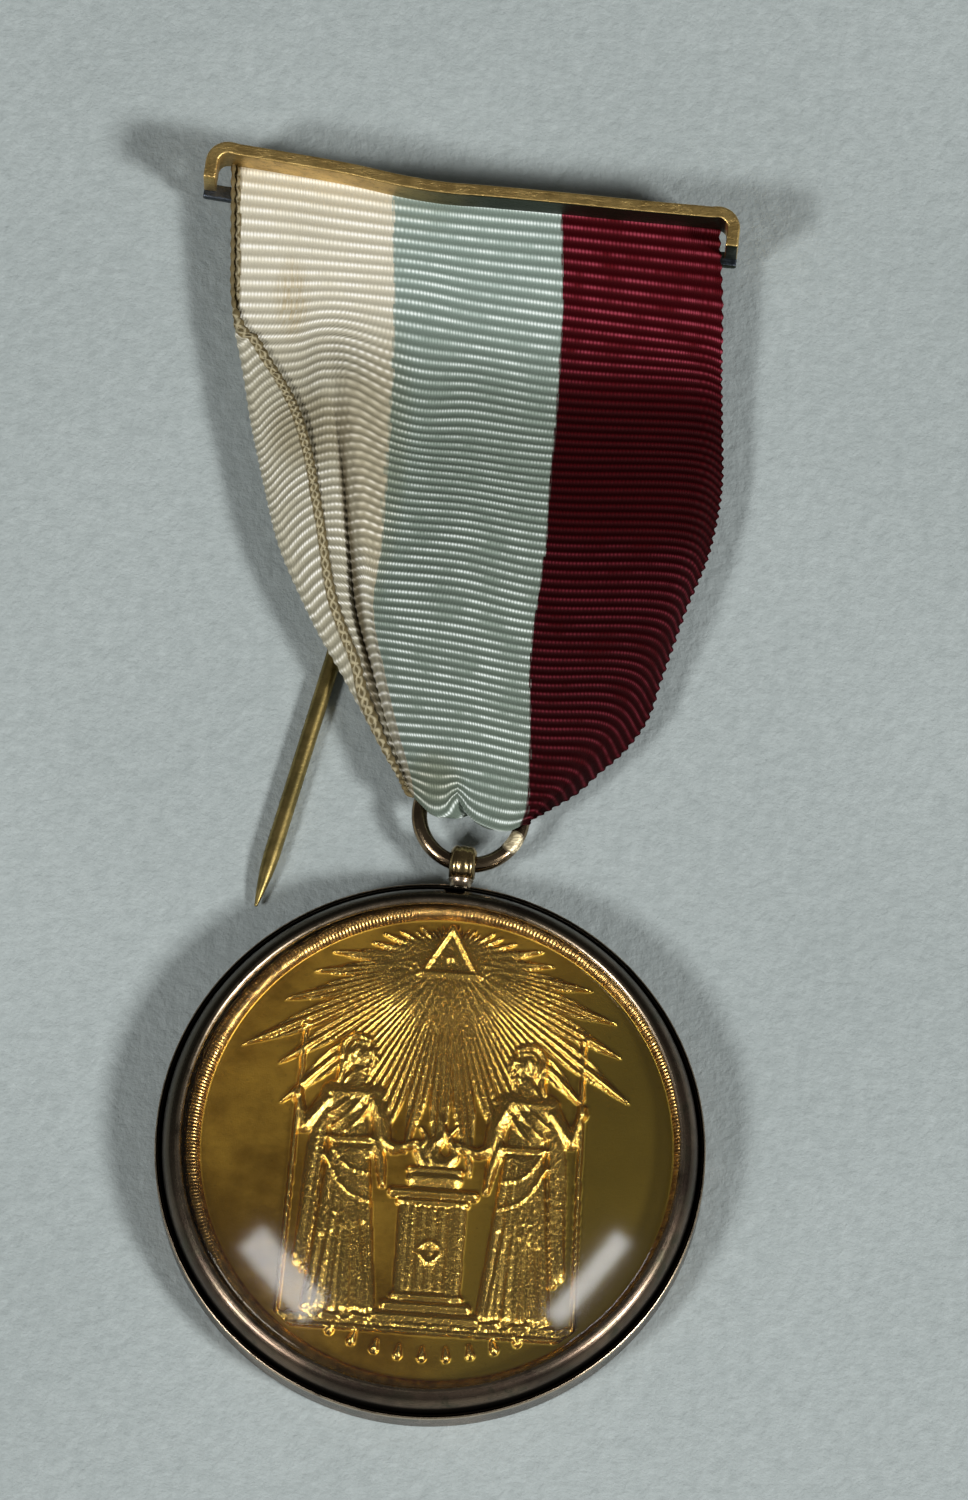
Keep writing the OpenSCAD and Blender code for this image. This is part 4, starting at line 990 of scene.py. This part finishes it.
# The struck face is a square grid drawn out to a disc, and the rim and the back are turned from its edge
SQUARE = 280
side = np.linspace(-1, 1, SQUARE)
a, b = np.meshgrid(side, side, indexing="ij")
disc_x, disc_y = a * np.sqrt(1 - b * b / 2), b * np.sqrt(1 - a * a / 2)
radial = np.hypot(disc_x, disc_y)
share = np.maximum(np.maximum(glory(disc_x, disc_y), triangle(disc_x, disc_y)), strokes(disc_x, disc_y))
share *= np.clip((0.985 - radial) / 0.01, 0, 1)
top = np.stack([MEDAL.field * disc_x, MEDAL.field * disc_y,
                MEDAL.field_z + MEDAL.relief * share], -1)
top_points, top_share = top.reshape(-1, 3), share.ravel()
border = np.r_[np.arange(SQUARE - 1) * SQUARE, (SQUARE - 1) * SQUARE + np.arange(SQUARE - 1),
               np.arange(SQUARE - 1, 0, -1) * SQUARE + SQUARE - 1, np.arange(SQUARE - 1, 0, -1)]
unit = top_points[border, :2] / np.linalg.norm(top_points[border, :2], axis=1)[:, None]
R, F, T = MEDAL.r, MEDAL.field, MEDAL.thick
rise = np.linspace(0.06, 1, 9)
rim_line = np.concatenate([
    np.c_[F + (R - F - 0.35) * rise,
          MEDAL.field_z + (T - MEDAL.field_z) * (1 - (1 - rise) ** 2.6)],
    [[R - 0.1, T - 0.02], [R - 0.03, T - 0.1], [R, T - 0.35], [R, 0.3], [R - 0.1, 0.08], [R - 0.4, 0],
     [R - 4, 0], [0.05, 0]]])
rim_points = np.concatenate([np.c_[unit * r, np.full(len(unit), z)] for r, z in rim_line])
points = np.r_[top_points, rim_points]
spin = np.radians(MEDAL.turn)
points = np.c_[points[:, 0] * np.cos(spin) - points[:, 1] * np.sin(spin),
               points[:, 0] * np.sin(spin) + points[:, 1] * np.cos(spin), points[:, 2]] + MEDAL.at
cell = (np.arange(SQUARE - 1)[:, None] * SQUARE + np.arange(SQUARE - 1)).ravel()
faces = [np.stack([cell, cell + SQUARE, cell + SQUARE + 1, cell + 1], -1)]
levels = [border] + [SQUARE ** 2 + i * len(unit) + np.arange(len(unit)) for i in range(len(rim_line))]
for inner, outer in zip(levels[:-1], levels[1:]):
    faces.append(np.stack([inner, outer, np.roll(outer, -1), np.roll(inner, -1)], -1))
faces = np.concatenate(faces)
mesh = bpy.data.meshes.new("medal_struck")
mesh.from_pydata((points * MM).tolist(), [], faces.tolist() + [levels[-1][::-1].tolist()])
mesh.polygons.foreach_set("use_smooth", np.full(len(mesh.polygons), True))
mask = mesh.attributes.new("relief", "FLOAT", "POINT")
mask.data.foreach_set("value", np.r_[top_share, np.full(len(rim_points), -1.0)].astype(np.float32))
medal = bpy.data.objects.new("medal_struck", mesh)
bpy.context.scene.collection.objects.link(medal)

MEDAL_GILT, shader, place = finish("medal_gilt", Metallic=1.0)
relief = Tone(MEDAL_GILT.node_tree).node("Attribute", {"attribute_name": "relief"}, out=2)
raised = relief.step(0.02, 0.10)
on_rim = (0 - relief).step(0.3, 0.7)
x, y, z = place.parts()
tooth = (y.math("ARCTAN2", x) * 420.0).math("SINE")
grit = place.noise(2.6, 3, 0.75)
brushed = place.noise(0.6, 5, 0.65, (0.8, 1.1, 1.0))
spark = place.noise(6.0, 2, 0.6)
cloud = place.noise(0.07, 3, 0.6)
speck = place.noise(1.3, 4, 0.7)
# painted reflection: broad patches of amber and gold over the field, turning dark olive towards the right and
# the bottom
field_tone = (cloud * 0.7 + brushed * 0.3).step(0.36, 0.62).blend((0.38, 0.20, 0.020), (0.74, 0.43, 0.058))
field_tone = (x * 0.04 - y * 0.015 + cloud * 0.8).step(0.35, 1.0).blend(field_tone, (0.33, 0.22, 0.032))
field_tone = (grit.step(0.58, 0.74) * 0.5).blend(field_tone, (0.16, 0.09, 0.015))
tone = raised.blend(field_tone, (0.80, 0.51, 0.12))
tone = (relief.step(0.42, 0.10) * raised * 0.35).blend(tone, (0.50, 0.27, 0.04))
tone = (speck.step(0.56, 0.72) * raised * 0.4).blend(tone, (0.45, 0.24, 0.03))
tone = on_rim.blend(tone, (speck.step(0.42, 0.62) * 0.8).blend((0.60, 0.36, 0.12), (0.20, 0.10, 0.03)))
grain = grit * (raised * 0.75 + 0.12) + spark * (1.0 - raised) * 0.2 + tooth * on_rim * grit * 0.3
feed(shader, relief=grain + brushed * 0.1, depth=0.09, Base_Color=tone,
     Roughness=0.40 - raised * 0.18 - on_rim * 0.16 + (cloud - 0.5) * 0.2)
mesh.materials.append(MEDAL_GILT)
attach(medal, "root")
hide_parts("medal")


# Glass. A domed watch glass, ground flat at its edge, that the bezel's lip holds down on the medal's
# side. It is clear, thin, and shows little but the reflections of the lights.
GLASS = Sizes(r=21.9, edge=22.55, thick=0.9, rise=4.0, z=4.15, soft=0.05)
curve = (GLASS.r ** 2 + GLASS.rise ** 2) / (2 * GLASS.rise)
span = np.arcsin(GLASS.r / curve)
top_z = GLASS.z + GLASS.thick
middle_z = top_z + GLASS.rise - curve
t = np.linspace(0.0006, 1, 60) * span
outer = np.c_[curve * np.sin(t), middle_z + curve * np.cos(t)]
t = t[::-1] / span * np.arccos((GLASS.z - middle_z) / (curve - GLASS.thick))
inner = np.c_[(curve - GLASS.thick) * np.sin(t), middle_z + (curve - GLASS.thick) * np.cos(t)]
edge = [[GLASS.edge - GLASS.soft, top_z], [GLASS.edge, top_z - GLASS.soft],
        [GLASS.edge, GLASS.z + GLASS.soft], [GLASS.edge - GLASS.soft, GLASS.z]]
WATCH_GLASS, shader, place = finish("watch_glass", Roughness=0.02, IOR=1.5, Base_Color=(0.9, 0.95, 0.93, 1))
tree = WATCH_GLASS.node_tree
clear = place.node("BsdfTransparent", {}, {"Color": (0.965, 0.975, 0.965, 1)})
gloss = place.node("BsdfGlossy", {}, {"Color": (1, 1, 1, 1), "Roughness": 0.09})
grazing = place.node("LayerWeight", {}, {"Blend": 0.5}, 1)
shine = 0.04 + (grazing ** 5.0) * 0.9
mixed = place.node("MixShader", {}, {0: shine, 1: clear, 2: gloss})
tree.links.new(mixed.socket, tree.nodes["Material Output"].inputs["Surface"])
crystal = skin("front_crystal_glass", spun(np.r_[outer, edge, inner], 256), WATCH_GLASS, (False, True),
               caps=True)
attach(crystal, "root")
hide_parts("front_crystal")
# clear glass casts next to no shadow on the medal
crystal.visible_shadow = False
